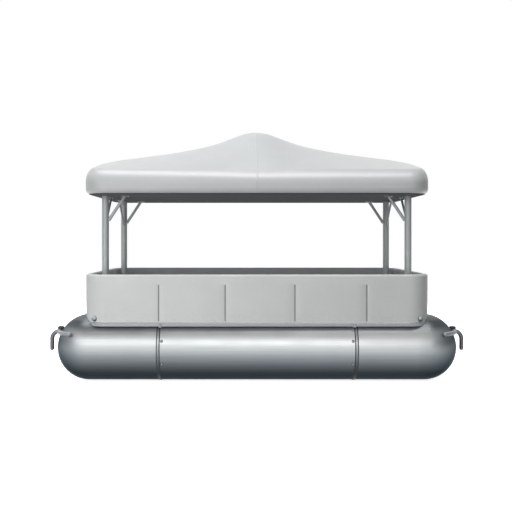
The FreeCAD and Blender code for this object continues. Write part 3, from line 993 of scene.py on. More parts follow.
def hex_head(centre: Vector, axis: Vector, size: float) -> Shape:
    """A hexagon bolt head on a washer.

    Args:
        centre: The middle of its foot.
        axis: The way that it faces.
        size: Across its flats.

    Returns:
        The head and washer.
    """
    sunk, wide, thick = 1 * MM, 0.95 * size, 2 * MM
    washer = spun([(0, -sunk), (wide, -sunk), (wide, thick), (0, thick)], centre, axis)
    foot, rise, reach = 1 * MM, 0.6 * size, size / math.sqrt(3)
    profile = [(0, foot), (reach, foot), (reach, rise - 1.2 * MM), (reach - 1.5 * MM, rise), (0, rise)]
    return washer.add(spun(profile, centre, axis, steps=6))


def evaluated(thing: bpy.types.Object) -> bpy.types.Mesh:
    """A copy of an object's mesh with its modifiers applied."""
    graph = bpy.context.evaluated_depsgraph_get()
    return bpy.data.meshes.new_from_object(thing.evaluated_get(graph), depsgraph=graph)


def dress_node(node: str, finish: Finish) -> None:
    """Gives one of the frame's own nodes its finish.

    Args:
        node: The node's name.
        finish: What it is made of.
    """
    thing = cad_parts[node]
    thing.data.materials.clear()
    thing.data.materials.append(finish.make())
    LOG.info("%s: dressed in %s", node, finish.name)


# ------------------------ places


@dataclass(frozen=True)
class Places:
    """Heights, stations and half widths that the pieces share, read from the frame."""

    float_radius: float
    float_half_length: float
    float_y: float
    float_z: float
    half_length: float
    half_width: float
    inner_y: float
    skirt_bottom: float
    deck_top: float
    rim_top: float
    canopy_bottom: float
    canopy_half_length: float
    canopy_half_width: float
    post_x: float
    post_y: float

    @classmethod
    def read(cls, lip: float) -> "Places":
        """Reads the places from the frame's boxes.

        Args:
            lip: How far the fence's lip reaches past its outer face.

        Returns:
            The places.
        """
        low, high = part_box("port_float")
        fence_low, fence_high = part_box("fence_side_port_2")
        cover_low, cover_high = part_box("canopy_cover")
        post_low, post_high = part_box("post_port_bow")
        return cls(
            float_radius=(high.z - low.z) / 2,
            float_half_length=high.x,
            float_y=(low.y + high.y) / 2,
            float_z=(low.z + high.z) / 2,
            half_length=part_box("gate_bow")[1].x,
            half_width=fence_high.y - lip,
            inner_y=fence_low.y,
            skirt_bottom=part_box("threshold_bow")[0].z,
            deck_top=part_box("deck")[1].z,
            rim_top=fence_high.z,
            canopy_bottom=cover_low.z,
            canopy_half_length=cover_high.x,
            canopy_half_width=cover_high.y,
            post_x=(post_low.x + post_high.x) / 2,
            post_y=(post_low.y + post_high.y) / 2,
        )

    @property
    def float_knee(self) -> float:
        """Where a float's round tube ends and its nose starts, from the middle."""
        return self.float_half_length - self.float_radius


# ------------------------ floats


@dataclass
class Floats:
    """The two round floats, their straps and rivets."""

    places: Places
    around: int = 160  # flats round a float
    nose_steps: int = 28
    tube_steps: int = 24
    strap_width: float = 40 * MM
    strap_seat: float = 0.3 * MM  # between the float and the rubber
    rubber_size: Pair = (52 * MM, 1.7 * MM)  # width, thickness
    band_size: Pair = (27 * MM, 4.2 * MM)
    band_edge: float = 0.4  # the rounding of its edges, as a share of its thickness
    rivet_radius: float = 15 * MM
    rivet_rise: float = 9 * MM
    rivet_washer: float = 5 * MM  # past the head
    rivet_inboard: float = 50 * MM
    rivet_heights: Pair = (0.134, -0.183)  # from the float's axis
    clip_thickness: float = 12 * MM
    clip_root: float = 40 * MM  # how far inside the fence's face it starts
    clip_span: Pair = (2 * MM, 44 * MM)  # from the strap's after edge
    clip_gap: float = 0.5 * MM
    clip_bolt: Triple = (12 * MM, 7 * MM, 8 * MM)  # radius, rise, lift

    def build(self) -> None:
        """Makes both floats with everything that is strapped or riveted to them."""
        for side in Side:
            self.shell(side)
            self.rivets(side)
            for end in End:
                self.strap(side, end)

    def axis_point(self, side: Side, x: float = 0.0) -> Vector:
        """The point of a float's axis at a station."""
        return Vector((x, self.places.float_y * side.value, self.places.float_z))

    def shell(self, side: Side) -> None:
        """Makes a float's skin: a long round tube with a half ball at each end.

        Args:
            side: Which float it is.
        """
        radius, knee = self.places.float_radius, self.places.float_knee
        ball = evenly(QUARTER_TURN, self.nose_steps)
        nose = [(radius * math.sin(t), knee + radius * math.cos(t)) for t in ball]
        tube = [(radius, knee * (1 - 2 * k / self.tube_steps)) for k in range(1, self.tube_steps)]
        profile = nose + tube + [(a, -b) for a, b in reversed(nose)]
        name = side.name.lower() + "_float"
        shape = spun(profile, self.axis_point(side), AHEAD, self.around)
        shape.piece(name + "_skin", [FLOAT_METAL], "float_aluminium", [name])

    def ring(self, centre: Vector, inner: float, size: Pair) -> Shape:
        """A flat band round the float.

        Args:
            centre: Where it crosses the float's axis.
            inner: Its inner radius.
            size: Its width and thickness.

        Returns:
            The band.
        """
        half, outer = size[0] / 2, inner + size[1]
        edge = min(size) * self.band_edge
        profile = rounded([(inner, -half, 0), (outer, -half, edge), (outer, half, edge), (inner, half, 0)])
        return spun(profile, centre, AHEAD, self.around, closed=True)

    def strap(self, side: Side, end: End) -> None:
        """Makes a steel strap on its rubber strip, with the clip that grips the fence's lip.

        Args:
            side: Which float it is on.
            end: Which end it is at.
        """
        node = "strap_" + quarter(side, end)
        low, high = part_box("strap_port_bow")
        centre = self.axis_point(side, (high.x - self.strap_width / 2) * end.value)
        seat = self.places.float_radius + self.strap_seat
        shape = self.ring(centre, seat, self.rubber_size).marked(1)
        shape.add(self.ring(centre, seat + self.rubber_size[1], self.band_size))
        shape.add(self.clip(low.x).mirrored(side, end).marked(2))
        shape.piece(node + "_band", [STRAP_STEEL, RUBBER, BOLT_STEEL], "strap_steel", [node])

    def clip(self, start: float) -> Shape:
        """The clip at the top of the port bow strap, hooked round the lip.

        Args:
            start: The strap's after edge.

        Returns:
            The clip with its bolt.
        """
        at, thick = self.places, self.clip_thickness
        face = at.half_width + Fence.lip
        foot, top = at.skirt_bottom - thick, at.skirt_bottom + Fence.lip_height
        root = at.half_width - self.clip_root
        profile = rounded([
            (root, foot, 0),
            (face + thick, foot, 7 * MM),
            (face + thick, top, 4 * MM),
            (face + self.clip_gap, top, 2 * MM),
            (face + self.clip_gap, at.skirt_bottom - self.clip_gap, 1 * MM),
            (root, at.skirt_bottom - self.clip_gap, 0),
        ])
        x0, x1 = (start + reach for reach in self.clip_span)
        edge = 1.5 * MM
        shape = sweep(profile, [Station(AHEAD * x, ACROSS, UP) for x in (x0, x0 + edge, x1 - edge, x1)])
        radius, rise, lift = self.clip_bolt
        head = Vector(((x0 + x1) / 2, face + thick, (foot + top) / 2 + lift))
        return shape.add(dome(head, ACROSS, radius, rise))

    def rivets(self, side: Side) -> None:
        """Makes the domed rivet heads beside each strap, on both flanks of a float.

        Args:
            side: Which float they are on.
        """
        radius = self.places.float_radius
        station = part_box("strap_port_bow")[1].x - self.strap_width / 2 - self.rivet_inboard
        shape = Shape()
        for end, rise, flank in product(End, self.rivet_heights, (1, -1)):
            angle = math.asin(rise / radius)
            way = Vector((0, flank * math.cos(angle), math.sin(angle)))
            foot = self.axis_point(side, station * end.value) + way * radius
            shape.add(domed_bolt(foot, way, self.rivet_radius, self.rivet_rise, self.rivet_washer))
        shape.piece(side.name.lower() + "_float_rivets", [BOLT_STEEL, RUBBER], "strap_steel")


@dataclass
class MooringHooks:
    """The bent bars at the four noses."""

    places: Places
    radius: float = 30 * MM
    bend_radius: float = 115 * MM
    bail_angle: float = 60.0  # how far it follows the nose to each side
    bail_steps: int = 48
    bend_steps: int = 16
    weld_radius: float = 9 * MM
    weld_steps: int = 90
    weld_spread: float = math.radians(38)  # from the way to the nose, round the bail
    weld_reach: float = 0.97  # the share of the bail that is welded
    weld_pulse: Pair = (0.14, 2.1)  # how much the bead swells, and how often
    pad_size: Pair = (85 * MM, 46 * MM)  # width, height
    pad_half: float = math.radians(4.5)
    pad_seat: Pair = (12 * MM, 8 * MM)  # inward of the bail, into its top
    pad_edge: float = math.radians(2.0)

    def build(self) -> None:
        """Makes the hook of each quarter."""
        for side, end in product(Side, End):
            node = "mooring_hook_" + quarter(side, end)
            finishes = [HOOK_STEEL, BEAM_METAL, CHAFE_PAINTED_SHADE]
            self.hook().mirrored(side, end).piece(node + "_bar", finishes, "hook_steel", [node])

    def hook(self) -> Shape:
        """The port bow hook: a bail that hugs the nose and a bar that bends down in front of it.

        Returns:
            The hook with its welds and pad.
        """
        low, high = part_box("mooring_hook_port_bow")
        nose = Vector((self.places.float_knee, self.places.float_y, high.z - self.radius))
        bail = high.x - self.radius - self.bend_radius - nose.x
        arm = Matrix.Rotation(math.radians(-self.bail_angle), 3, UP) @ AHEAD * bail
        shape = bar(arc_points(nose, arm, UP, 2 * self.bail_angle, self.bail_steps), self.radius, UP)
        turn = nose + AHEAD * bail - UP * self.bend_radius
        drop = arc_points(turn, UP * self.bend_radius, ACROSS, 90, self.bend_steps)
        tip = Vector((drop[-1].x, drop[-1].y, low.z + self.radius))
        drop += [drop[-1].lerp(tip, share) for share in evenly(1.0, 4)[1:]]
        shape.add(bar(drop, self.radius, ACROSS))
        for lift in (1, -1):
            shape.add(self.weld(nose, bail, lift).marked(1))
        return shape.add(self.chafe_pad(nose, bail).marked(2))

    def chafe_pad(self, nose: Vector, bail: float) -> Shape:
        """The rubber block on top of the bail, which keeps a line off the nose: a dark block put where the
        bail lies in shade, as painted shade.

        Args:
            nose: The middle of the bail's arc.
            bail: The arc's radius.

        Returns:
            The block.
        """
        wide, tall = self.pad_size
        inward, sunk = self.pad_seat
        foot = nose + UP * (self.radius + tall / 2 - sunk)
        block = rectangle(wide / 2, tall / 2, 0.4 * tall)
        places = edge_rounding(-self.pad_half, self.pad_half, self.pad_edge)
        outs = [Matrix.Rotation(turn, 3, UP) @ AHEAD for turn, _ in places]
        stations = [Station(foot + out * (bail - inward), out, UP) for out in outs]
        return loft([shrunk(block, inset * bail) for _, inset in places], stations)

    def weld(self, nose: Vector, bail: float, lift: int) -> Shape:
        """The weld bead over or under the bail, where it meets the nose.

        Args:
            nose: The middle of the bail's arc.
            bail: The arc's radius.
            lift: 1 for the bead over the bail, -1 for the one under it.

        Returns:
            The bead.
        """
        ball = Vector((nose.x, nose.y, self.places.float_z))
        swell, pace = self.weld_pulse
        beads = []
        for k in range(self.weld_steps + 1):
            out = heading(math.radians(self.bail_angle * (1 - 2 * k / self.weld_steps) * self.weld_reach))
            rod = nose + out * bail
            inward = (ball - rod).normalized()
            side = inward.cross(UP.cross(out)).normalized() * lift
            arm = inward * math.cos(self.weld_spread) + side * math.sin(self.weld_spread)
            foot = rod + arm * self.radius
            beads.append(Station(foot, inward, side, 1 - swell + swell * math.cos(k * pace)))
        return sweep(circle(self.weld_radius, 8), beads)


# ------------------------ deck


@dataclass
class Platform:
    """The deck and the beams under it."""

    beams: int = 5

    def build(self) -> None:
        """Dresses the beams and the deck, whose frame shapes are right as they are."""
        for number in range(1, self.beams + 1):
            dress_node(f"cross_beam_{number}", BEAM_METAL)
        dress_node("deck", DECK_FLOOR)


# ------------------------ fence


@dataclass
class Fence:
    """The ring wall: panels, thresholds, gates and corner bolts."""

    places: Places
    lip: float = 12 * MM
    lip_height: float = 43 * MM
    bends: Pair = (3 * MM, 6 * MM)  # of the lip's edges, and over it
    corner_radius: float = 320 * MM
    corner_steps: int = 28
    straight_steps: int = 8
    arc_steps: int = 8
    skirt_thickness: float = 35 * MM
    skirt_gap: float = 9.3 * MM  # over the float
    skirt_edge: float = 2 * MM
    rim_radius: float = 28 * MM
    seam_half_width: float = 11 * MM
    seam_depth: float = 5 * MM
    # distance from the seam's middle, share of its depth
    seam_profile: tuple[Pair, ...] = (
        (0.0, 1.0), (8.5 * MM, 0.9), (10.5 * MM, 0.3), (13 * MM, 0.0),
    )
    seam_over_lip: float = 4 * MM
    seam_below_rim: float = 138 * MM
    seam_fade: float = 6 * MM
    gasket_rise: float = 2.5 * MM
    gasket_crown: tuple[float, ...] = (0.5, 1.1, 1.6, 2.1, 2.7)  # its points round the top, in radians
    gate_half: float = 400 * MM
    gate_latch_gap: float = 12 * MM
    gate_hinge_gap: float = 6 * MM
    gate_floor_gap: float = 12 * MM
    gate_edge: float = 5 * MM
    bolt_angle: float = 61.0  # from ahead, round the corner
    bolt_drop: float = 80 * MM  # below the deck's top
    bolt_radius: float = 38 * MM
    bolt_rise: float = 36 * MM
    bolt_washer: float = 4 * MM

    def build(self) -> None:
        """Makes every piece of the fence."""
        for side in Side:
            for number in (1, 2, 3):
                self.side_panel(side, number)
            self.gaskets(side)
            for end in End:
                self.corner_panel(side, end)
                self.corner_bolt(side, end)
        for end in End:
            self.threshold(end)
            self.gate(end)

    @property
    def thickness(self) -> float:
        """From the wall's inner face to its outer one."""
        return self.places.half_width - self.places.inner_y

    @property
    def lip_top(self) -> float:
        """Where the slope over the lip meets the wall's outer face."""
        return self.places.skirt_bottom + self.lip_height + self.lip

    @property
    def seam_top(self) -> float:
        """Where the grooves between the panels end."""
        return self.places.rim_top - self.seam_below_rim

    @property
    def corner_centre(self) -> Vector:
        """The middle of the port bow corner, in plan."""
        at = self.places
        return Vector((at.half_length - self.corner_radius, at.half_width - self.corner_radius, 0))

    def skirt(self) -> list[Triple]:
        """The skirt's corners up to its lip, out from the wall's outer face.

        Returns:
            Out, up and radius of each corner.
        """
        foot, (edge, bend) = self.places.skirt_bottom, self.bends
        return [
            (-self.skirt_thickness, foot, self.skirt_edge),
            (self.lip, foot, edge),
            (self.lip, foot + self.lip_height, edge),
            (0, self.lip_top, bend),
        ]

    def rim(self) -> list[Triple]:
        """The corners of a wall's upper part, from the end of its grooves over the rim.

        Returns:
            Out, up and radius of each corner.
        """
        top, thick, radius = self.places.rim_top, self.thickness, self.rim_radius
        fade = [(0, self.seam_top + k * self.seam_fade, 0) for k in (-2, -1, 0, 1)]
        return fade + [(0, top, radius), (-thick, top, radius), (-thick, top - radius - 2 * MM, 0)]

    def marks(self, outline: Outline) -> list[int]:
        """What each edge of a wall's outline is: rail below, liner inside, skin elsewhere.

        Args:
            outline: The outline.

        Returns:
            The number of each edge's finish.
        """
        inside, rim_inside = 12 * MM - self.thickness, 22 * MM - self.thickness
        foot = self.places.deck_top - 1 * MM
        found = []
        for i, (a, b) in enumerate(outline):
            c, d = outline[(i + 1) % len(outline)]
            mark = Mark.SKIN
            if max(b, d) <= self.lip_top + 1 * MM:
                mark = Mark.RAIL
            elif min(a, c) <= inside and max(a, c) <= rim_inside and min(b, d) >= foot:
                mark = Mark.LINER
            found.append(mark.value)
        return found

    def run(self, stations: Sequence[Station], seams: Sequence[int]) -> Shape:
        """Carries a panel along its plan, with a groove at the given ends.

        Args:
            stations: The plan, at the wall's outer face.
            seams: Which ends have a seam: 0 for the first, -1 for the last.

        Returns:
            The panel.
        """
        at, last = self.places, len(stations) - 1
        ledge = [(-self.thickness, at.deck_top, 0), (-self.skirt_thickness, at.deck_top, 0)]
        face = [(0, self.lip_top + 2 * self.lip, 0)]
        outline = rounded(self.skirt() + face + self.rim() + ledge, self.arc_steps)

        def grooved(number: int) -> Outline:
            """The outline at one station, drawn in where it meets a groove.

            Args:
                number: The station's number.

            Returns:
                The outline there.
            """
            near = [number if end == 0 else last - number for end in seams]
            depth = self.seam_depth * self.seam_profile[min(near + [len(self.seam_profile) - 1])][1]
            points = []
            for a, b in outline:
                on_face = abs(a) < 0.5 * MM and self.lip_top + self.seam_over_lip < b
                fade = min(1.0, max(0.0, (self.seam_top - b) / self.seam_fade)) if on_face else 0.0
                points.append((a - depth * fade, b))
            return points

        outlines = [grooved(number) for number in range(last + 1)]
        return loft(outlines, stations, marks=self.marks(outline))

    def straight(self, start: Vector, end: Vector, out: Vector, seams: Sequence[int] = ()) -> list[Station]:
        """Stations along a straight wall, closer together at a seam.

        Args:
            start: Where the wall's outer face starts, in plan.
            end: Where it ends.
            out: The wall's outward normal.
            seams: Which ends have a seam.

        Returns:
            The stations.
        """
        length, way = (end - start).length, (end - start).normalized()
        near = [distance for distance, _ in self.seam_profile]
        places = (near if 0 in seams else [0.0]) + evenly(length, self.straight_steps)[1:-1]
        places += [length - p for p in reversed(near)] if -1 in seams else [length]
        return [Station(start + way * p, out, UP) for p in places]

    def side_panel(self, side: Side, number: int) -> None:
        """Makes a flat side panel between two seams.

        Args:
            side: Which side it is on.
            number: Its number in the row.
        """
        node, y, seams = f"fence_side_{side.name.lower()}_{number}", self.places.half_width, (0, -1)
        low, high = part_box(node)
        stations = self.straight(Vector((low.x, y, 0)), Vector((high.x, y, 0)), ACROSS, seams)
        shape = self.run(stations, seams).mirrored(side)
        shape.piece(node + "_wall", WALL_FINISHES, "fence_paint", [node])

    def gaskets(self, side: Side) -> None:
        """Makes the sealant strips in the grooves between the panels.

        Args:
            side: Which side they are on.
        """
        half, depth = self.seam_half_width - 1 * MM, self.seam_depth
        bead = [(-half, -depth - 1 * MM), (half, -depth - 1 * MM)]
        bead += [(half * math.cos(t), self.gasket_rise * math.sin(t) - depth) for t in self.gasket_crown]
        panels = [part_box(f"fence_side_port_{number}") for number in (1, 2, 3)]
        shape = Shape()
        for x in sorted({round(corner.x, 4) for box in panels for corner in box}):
            foot = Vector((x, self.places.half_width, 0))
            heights = (self.lip_top + self.seam_over_lip, self.seam_top)
            shape.add(sweep(bead, [Station(foot + UP * z, AHEAD, ACROSS) for z in heights]))
        shape.mirrored(side).piece(f"fence_gaskets_{side.name.lower()}", [SEALANT], "fence_paint")

    def corner_panel(self, side: Side, end: End) -> None:
        """Makes a rounded corner of the fence, from its seam to the gate.

        Args:
            side: Which side it is on.
            end: Which end it is at.
        """
        at, centre = self.places, self.corner_centre
        node = "fence_corner_" + quarter(side, end)
        seam = Vector((min(abs(corner.x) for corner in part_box(node)), at.half_width, 0))
        stations = self.straight(seam, Vector((centre.x, at.half_width, 0)), ACROSS, (0,))
        for turn in reversed(evenly(QUARTER_TURN, self.corner_steps)[1:-1]):
            stations.append(Station(centre + heading(turn) * self.corner_radius, heading(turn), UP))
        gate = Vector((at.half_length, self.gate_half, 0))
        stations += self.straight(Vector((at.half_length, centre.y, 0)), gate, AHEAD)
        shape = self.scribed(self.run(stations, (0,))).mirrored(side, end)
        shape.piece(node + "_wall", WALL_FINISHES, "fence_paint", [node])

    def corner_bolt(self, side: Side, end: End) -> None:
        """Makes the domed bolt head on a corner.

        Args:
            side: Which side it is on.
            end: Which end it is at.
        """
        out = heading(math.radians(self.bolt_angle))
        foot = self.corner_centre + out * self.corner_radius + UP * (self.places.deck_top - self.bolt_drop)
        bolt = domed_bolt(foot, out, self.bolt_radius, self.bolt_rise, self.bolt_washer)
        name = "corner_bolt_" + quarter(side, end)
        bolt.mirrored(side, end).piece(name, [BOLT_HEAD, RUBBER], "strap_steel")

    def scribed(self, shape: Shape) -> Shape:
        """A corner wall whose skirt is lifted clear of the float.

        Args:
            shape: The port bow wall.

        Returns:
            The lifted wall.
        """
        at, centre = self.places, self.corner_centre
        clear = at.float_radius + self.skirt_gap

        def crown(p: Vector) -> float:
            """The height that the skirt keeps clear of at a place.

            Args:
                p: The place.

            Returns:
                The height.
            """
            across, beyond = p.y - at.float_y, max(abs(p.x) - at.float_knee, 0.0)
            room = clear * clear - across * across - beyond * beyond
            return min(at.float_z + math.sqrt(room), at.deck_top - 3 * MM) if room > 0 else at.skirt_bottom

        def lifted(p: Vector) -> Vector:
            """A point, raised to the float's top and drawn in along the lip's slope.

            Args:
                p: The point.

            Returns:
                Its new place.
            """
            if p.z > at.deck_top - 2 * MM or crown(p) <= p.z:
                return p
            q, out = p, Vector((max(p.x - centre.x, 0.0), max(p.y - centre.y, 0.0), 0.0))
            for _ in range(8):  # the height there settles how far in it goes, and the other way round
                lip_left = min(max(self.lip_top - crown(q), 0.0), self.lip)
                q = p - out.normalized() * max(out.length - self.corner_radius - lip_left, 0.0)
            return Vector((q.x, q.y, crown(q)))

        return shape.moved(lifted)

    def threshold(self, end: End) -> None:
        """Makes the skirt under a gate.

        Args:
            end: Which end it is at.
        """
        at, node = self.places, "threshold_" + end.name.lower()
        top = [(0, at.deck_top, 4 * MM), (-self.skirt_thickness, at.deck_top, self.skirt_edge)]
        outline = rounded(self.skirt() + top)
        start, stop = (Vector((at.half_length, y, 0)) for y in (-self.gate_half, self.gate_half))
        shape = sweep(outline, self.straight(start, stop, AHEAD), self.marks(outline)).facing(end)
        shape.piece(node + "_sill", WALL_FINISHES, "fence_paint", [node])

    def gate(self, end: End) -> None:
        """Makes a gate and dresses its hardware.

        Args:
            end: Which end it is at.
        """
        at, name, edge = self.places, end.name.lower(), self.bends[0]
        foot = at.deck_top + self.gate_floor_gap
        outline = rounded([(-self.thickness, foot, edge), (0, foot, edge)] + self.rim(), self.arc_steps)
        low, high = self.gate_latch_gap - self.gate_half, self.gate_half - self.gate_hinge_gap
        places = edge_rounding(low, high, self.gate_edge)
        stations = [Station(Vector((at.half_length, y, 0)), AHEAD, UP) for y, _ in places]
        outlines = [shrunk(outline, inset) for _, inset in places]
        shape = loft(outlines, stations, marks=self.marks(outline)).facing(end)
        shape.piece(
            f"gate_{name}_leaf", WALL_FINISHES, "fence_paint", ["gate_" + name], body=name + "_gate"
        )
        dress_node("gate_hinge_" + name, HARDWARE)
        dress_node("gate_latch_" + name, HARDWARE)


# ------------------------ canopy


@dataclass
class CanopyFrame:
    """Posts and braces that carry the canopy."""

    places: Places
    post_radius: float = 50 * MM
    post_steps: int = 12
    # how far the weld round a post's foot stands out from it, and its height over the base
    post_weld: tuple[Pair, ...] = (
        (9 * MM, 0.0), (7 * MM, 5 * MM), (2 * MM, 9 * MM), (0.0, 12 * MM),
    )
    base_half: float = 100 * MM
    base_thickness: float = 12 * MM
    base_corner: float = 20 * MM
    base_edge: float = 2 * MM
    base_bolt: Pair = (25 * MM, 19 * MM)  # in from the base's edge, across flats
    brace_foot_drop: float = 426 * MM
    brace_sunk: float = 6 * MM  # into the post
    long_brace: Pair = (281 * MM, 23 * MM)  # run, radius
    cross_brace: Pair = (450 * MM, 17 * MM)
    plate_shares: Pair = (2.6, 1.4)  # its half length and half width, in brace radii
    plate_corner: float = 8 * MM
    plate_thickness: float = 5 * MM

    def build(self) -> None:
        """Makes the post and braces of each quarter."""
        for side, end in product(Side, End):
            name, finishes, slot = quarter(side, end), [POST_METAL, HARDWARE], "post_aluminium"
            post, braces = self.post().mirrored(side, end), self.braces().mirrored(side, end)
            post.piece(f"post_{name}_tube", finishes, slot, ["post_" + name])
            braces.piece(f"braces_{name}_tubes", finishes, slot, ["braces_" + name])

    def post(self) -> Shape:
        """The port bow post: a tube on a bolted base plate, with a weld round its foot.

        Returns:
            The post.
        """
        at = self.places
        foot = Vector((at.post_x, at.post_y, at.deck_top))
        tall = at.canopy_bottom - at.deck_top
        r, plate, half, edge = self.post_radius, self.base_thickness, self.base_half, self.base_edge
        profile = [(0, plate)] + [(r + out, plate + rise) for out, rise in self.post_weld]
        profile += [(r, z) for z in evenly(tall, self.post_steps)[1:-1]]
        profile += [(r, tall - 1 * MM), (r - 1 * MM, tall), (0, tall)]
        shape = spun(profile, foot, UP, 48)
        square = rectangle(half, half, self.base_corner)
        steps = ((0, 1), (plate - edge, 1), (plate, 1 - edge / half))
        shape.add(sweep(square, [Station(foot + UP * z, AHEAD, ACROSS, scale) for z, scale in steps]))
        inward, flats = self.base_bolt
        for x, y in product((inward - half, half - inward), repeat=2):
            shape.add(hex_head(foot + Vector((x, y, plate)), UP, flats).marked(1))
        return shape

    def braces(self) -> Shape:
        """The port bow braces: one along the boat and one across it, each with its end plate.

        Returns:
            The braces.
        """
        at = self.places
        foot = Vector((at.post_x, at.post_y, at.canopy_bottom - self.brace_foot_drop))
        shape = Shape()
        for way, normal, (run, radius) in (
            (-AHEAD, ACROSS, self.long_brace),
            (-ACROSS, AHEAD, self.cross_brace),
        ):
            head = foot + way * run + UP * self.brace_foot_drop
            lean = (head - foot).normalized()
            start = foot + lean * (self.post_radius / abs(lean.dot(way)) - self.brace_sunk)
            stop = head - lean * (radius * abs(lean.dot(way)) / lean.z)
            path = [start.lerp(stop, share) for share in evenly(1.0, 6)]
            shape.add(bar(path, radius, normal, round_ends=False))
            shape.add(self.end_plate(head, way, radius).marked(1))
        return shape

    def end_plate(self, head: Vector, way: Vector, radius: float) -> Shape:
        """The flat foot that fixes a brace's head under the canopy.

        Args:
            head: The brace's head.
            way: The level way that the brace runs.
            radius: The brace's radius.

        Returns:
            The plate.
        """
        long, wide = self.plate_shares
        plate = rectangle(long * radius, wide * radius, self.plate_corner)
        depths = (self.plate_thickness, 0.5 * MM)
        return sweep(plate, [Station(head - UP * depth, way, UP.cross(way)) for depth in depths])


@dataclass
class Canopy:
    """The stretched cover, its seam tape and the headliner."""

    places: Places
    corner_radius: float = 320 * MM
    hem_radius: float = 88 * MM
    hem_inset: float = 95 * MM
    hem_steps: int = 8
    hem_shade_rings: int = 4  # how far the headliner's dark cloth wraps up the hem, as painted shade on its underside
    side_height: float = 370 * MM  # the foot of the slopes, over the underside
    # the crest, at the ends and along the sides
    crest_reach: Pair = (112 * MM, 185 * MM)  # how far in it reaches
    crest_drop: Pair = (190 * MM, 225 * MM)  # how far down it comes
    crest_fullness: Pair = (0.55, 0.46)  # how square it is
    crest_steps: int = 16
    wall_steps: tuple[int, int] = (5, 4)  # straight runs in the valance, and under the tape
    ridge_soft: float = 90 * MM
    # distance from the middle, height of the ridge above the underside
    ridge: tuple[Pair, ...] = (
        (0.0, 1.036), (0.10, 1.028), (0.20, 1.006), (0.31, 0.965), (0.44, 0.916), (0.60, 0.860),
        (0.76, 0.814), (1.10, 0.743), (1.45, 0.687), (1.76, 0.646), (2.10, 0.602), (2.44, 0.538),
    )
    ridge_inset: float = 0.55  # how short of the ends the ridge stays, in half widths
    around: int = 288
    rows: int = 44
    tape_half: float = 14 * MM
    tape_proud: float = 1.2 * MM
    tape_sunk: float = 0.3 * MM
    tape_steps: int = 24  # from the foot of a slope to the ridge
    liner_around: int = 160
    liner_rows: int = 14
    liner_spine: float = 1.6  # how far from the middle its rows still lie side by side

    def build(self) -> None:
        """Makes the cover, the seam tape and the headliner."""
        cover, tape, liner = self.cover(), self.tape(), self.liner()

    def ridge_height(self, x: float) -> float:
        """The height of the ridge at a station, on a smooth curve through its table.

        Args:
            x: The station.

        Returns:
            The height, over the underside.
        """
        table, last = self.ridge, len(self.ridge) - 1
        i = max(k for k in range(last) if table[k][0] <= abs(x))

        def slope(k: int) -> float:
            """The curve's slope at one entry of the table.

            Args:
                k: The entry's number.

            Returns:
                The slope, which is nought at the middle.
            """
            if k == 0:
                return 0.0
            (a, low), (b, high) = table[k - 1], table[min(k + 1, last)]
            return (high - low) / (b - a)

        (x0, z0), (x1, z1) = table[i], table[i + 1]
        step = x1 - x0
        t = min((abs(x) - x0) / step, 1.0)
        return (
            z0 * (1 + 2 * t) * (1 - t) ** 2
            + slope(i) * step * t * (1 - t) ** 2
            + z1 * t * t * (3 - 2 * t)
            - slope(i + 1) * step * t * t * (1 - t)
        )

    def tent(self, x: float, y: float) -> float:
        """The height of the slopes over a point of the plan, before the edges are turned down.

        Args:
            x: The point's station.
            y: How far it lies from the middle.

        Returns:
            The height.
        """
        at = self.places
        crown = self.ridge_height(x) - self.side_height
        half = at.canopy_half_width - self.crest_reach[1]
        away, span = (math.hypot(d, self.ridge_soft) - self.ridge_soft for d in (y, half))
        return at.canopy_bottom + self.side_height + crown * max(1 - away / span, 0.0)

    def outline(self, count: int) -> list[tuple[Vector, Vector]]:
        """Points round the plan and their outward normals.

        Args:
            count: How many points, at even steps round the edge.

        Returns:
            Each point with its normal.
        """
        at, r = self.places, self.corner_radius
        cx, cy = at.canopy_half_length - r, at.canopy_half_width - r
        runs = [2 * cy, QUARTER_TURN * r, 2 * cx, QUARTER_TURN * r] * 2
        corners = [(cx, cy, 0), (-cx, cy, 90), (-cx, -cy, 180), (cx, -cy, 270)]
        found = []
        for s in evenly(sum(runs), count)[:-1]:
            number = 0
            while s > runs[number] and number < len(runs) - 1:
                s -= runs[number]
                number += 1
            x, y, degrees = corners[number // 2]
            round_corner = number % 2 == 1
            out = heading(math.radians(degrees + (90 * s / runs[number] if round_corner else 0)))
            short = 0 if round_corner else runs[number] - s
            found.append((Vector((x, y, 0)) + out * r - UP.cross(out) * short, out))
        return found

    def crest(self, p: Vector, out: Vector) -> list[Vector]:
        """The crest at a point of the edge, on one curve from the valance to the slopes.

        Args:
            p: The point of the edge.
            out: The edge's outward normal.

        Returns:
            Points from the head of the valance up to the foot of the slopes.
        """
        reach, drop, full = (
            ends + (sides - ends) * abs(out.y)
            for ends, sides in (self.crest_reach, self.crest_drop, self.crest_fullness)
        )
        gap = 5 * MM  # over which the rise of the slope is taken
        top = p - out * reach
        further = top - out * gap
        top.z = self.tent(top.x, top.y)
        rise = (self.tent(further.x, further.y) - top.z) / gap
        foot = Vector((p.x, p.y, top.z - drop))
        first = foot + UP * drop * full
        last = top + (out - UP * rise) * reach * full
        found = []
        for t in evenly(1.0, self.crest_steps):
            s = 1 - t
            found.append(foot * s**3 + first * 3 * s * s * t + last * 3 * s * t * t + top * t**3)
        return found

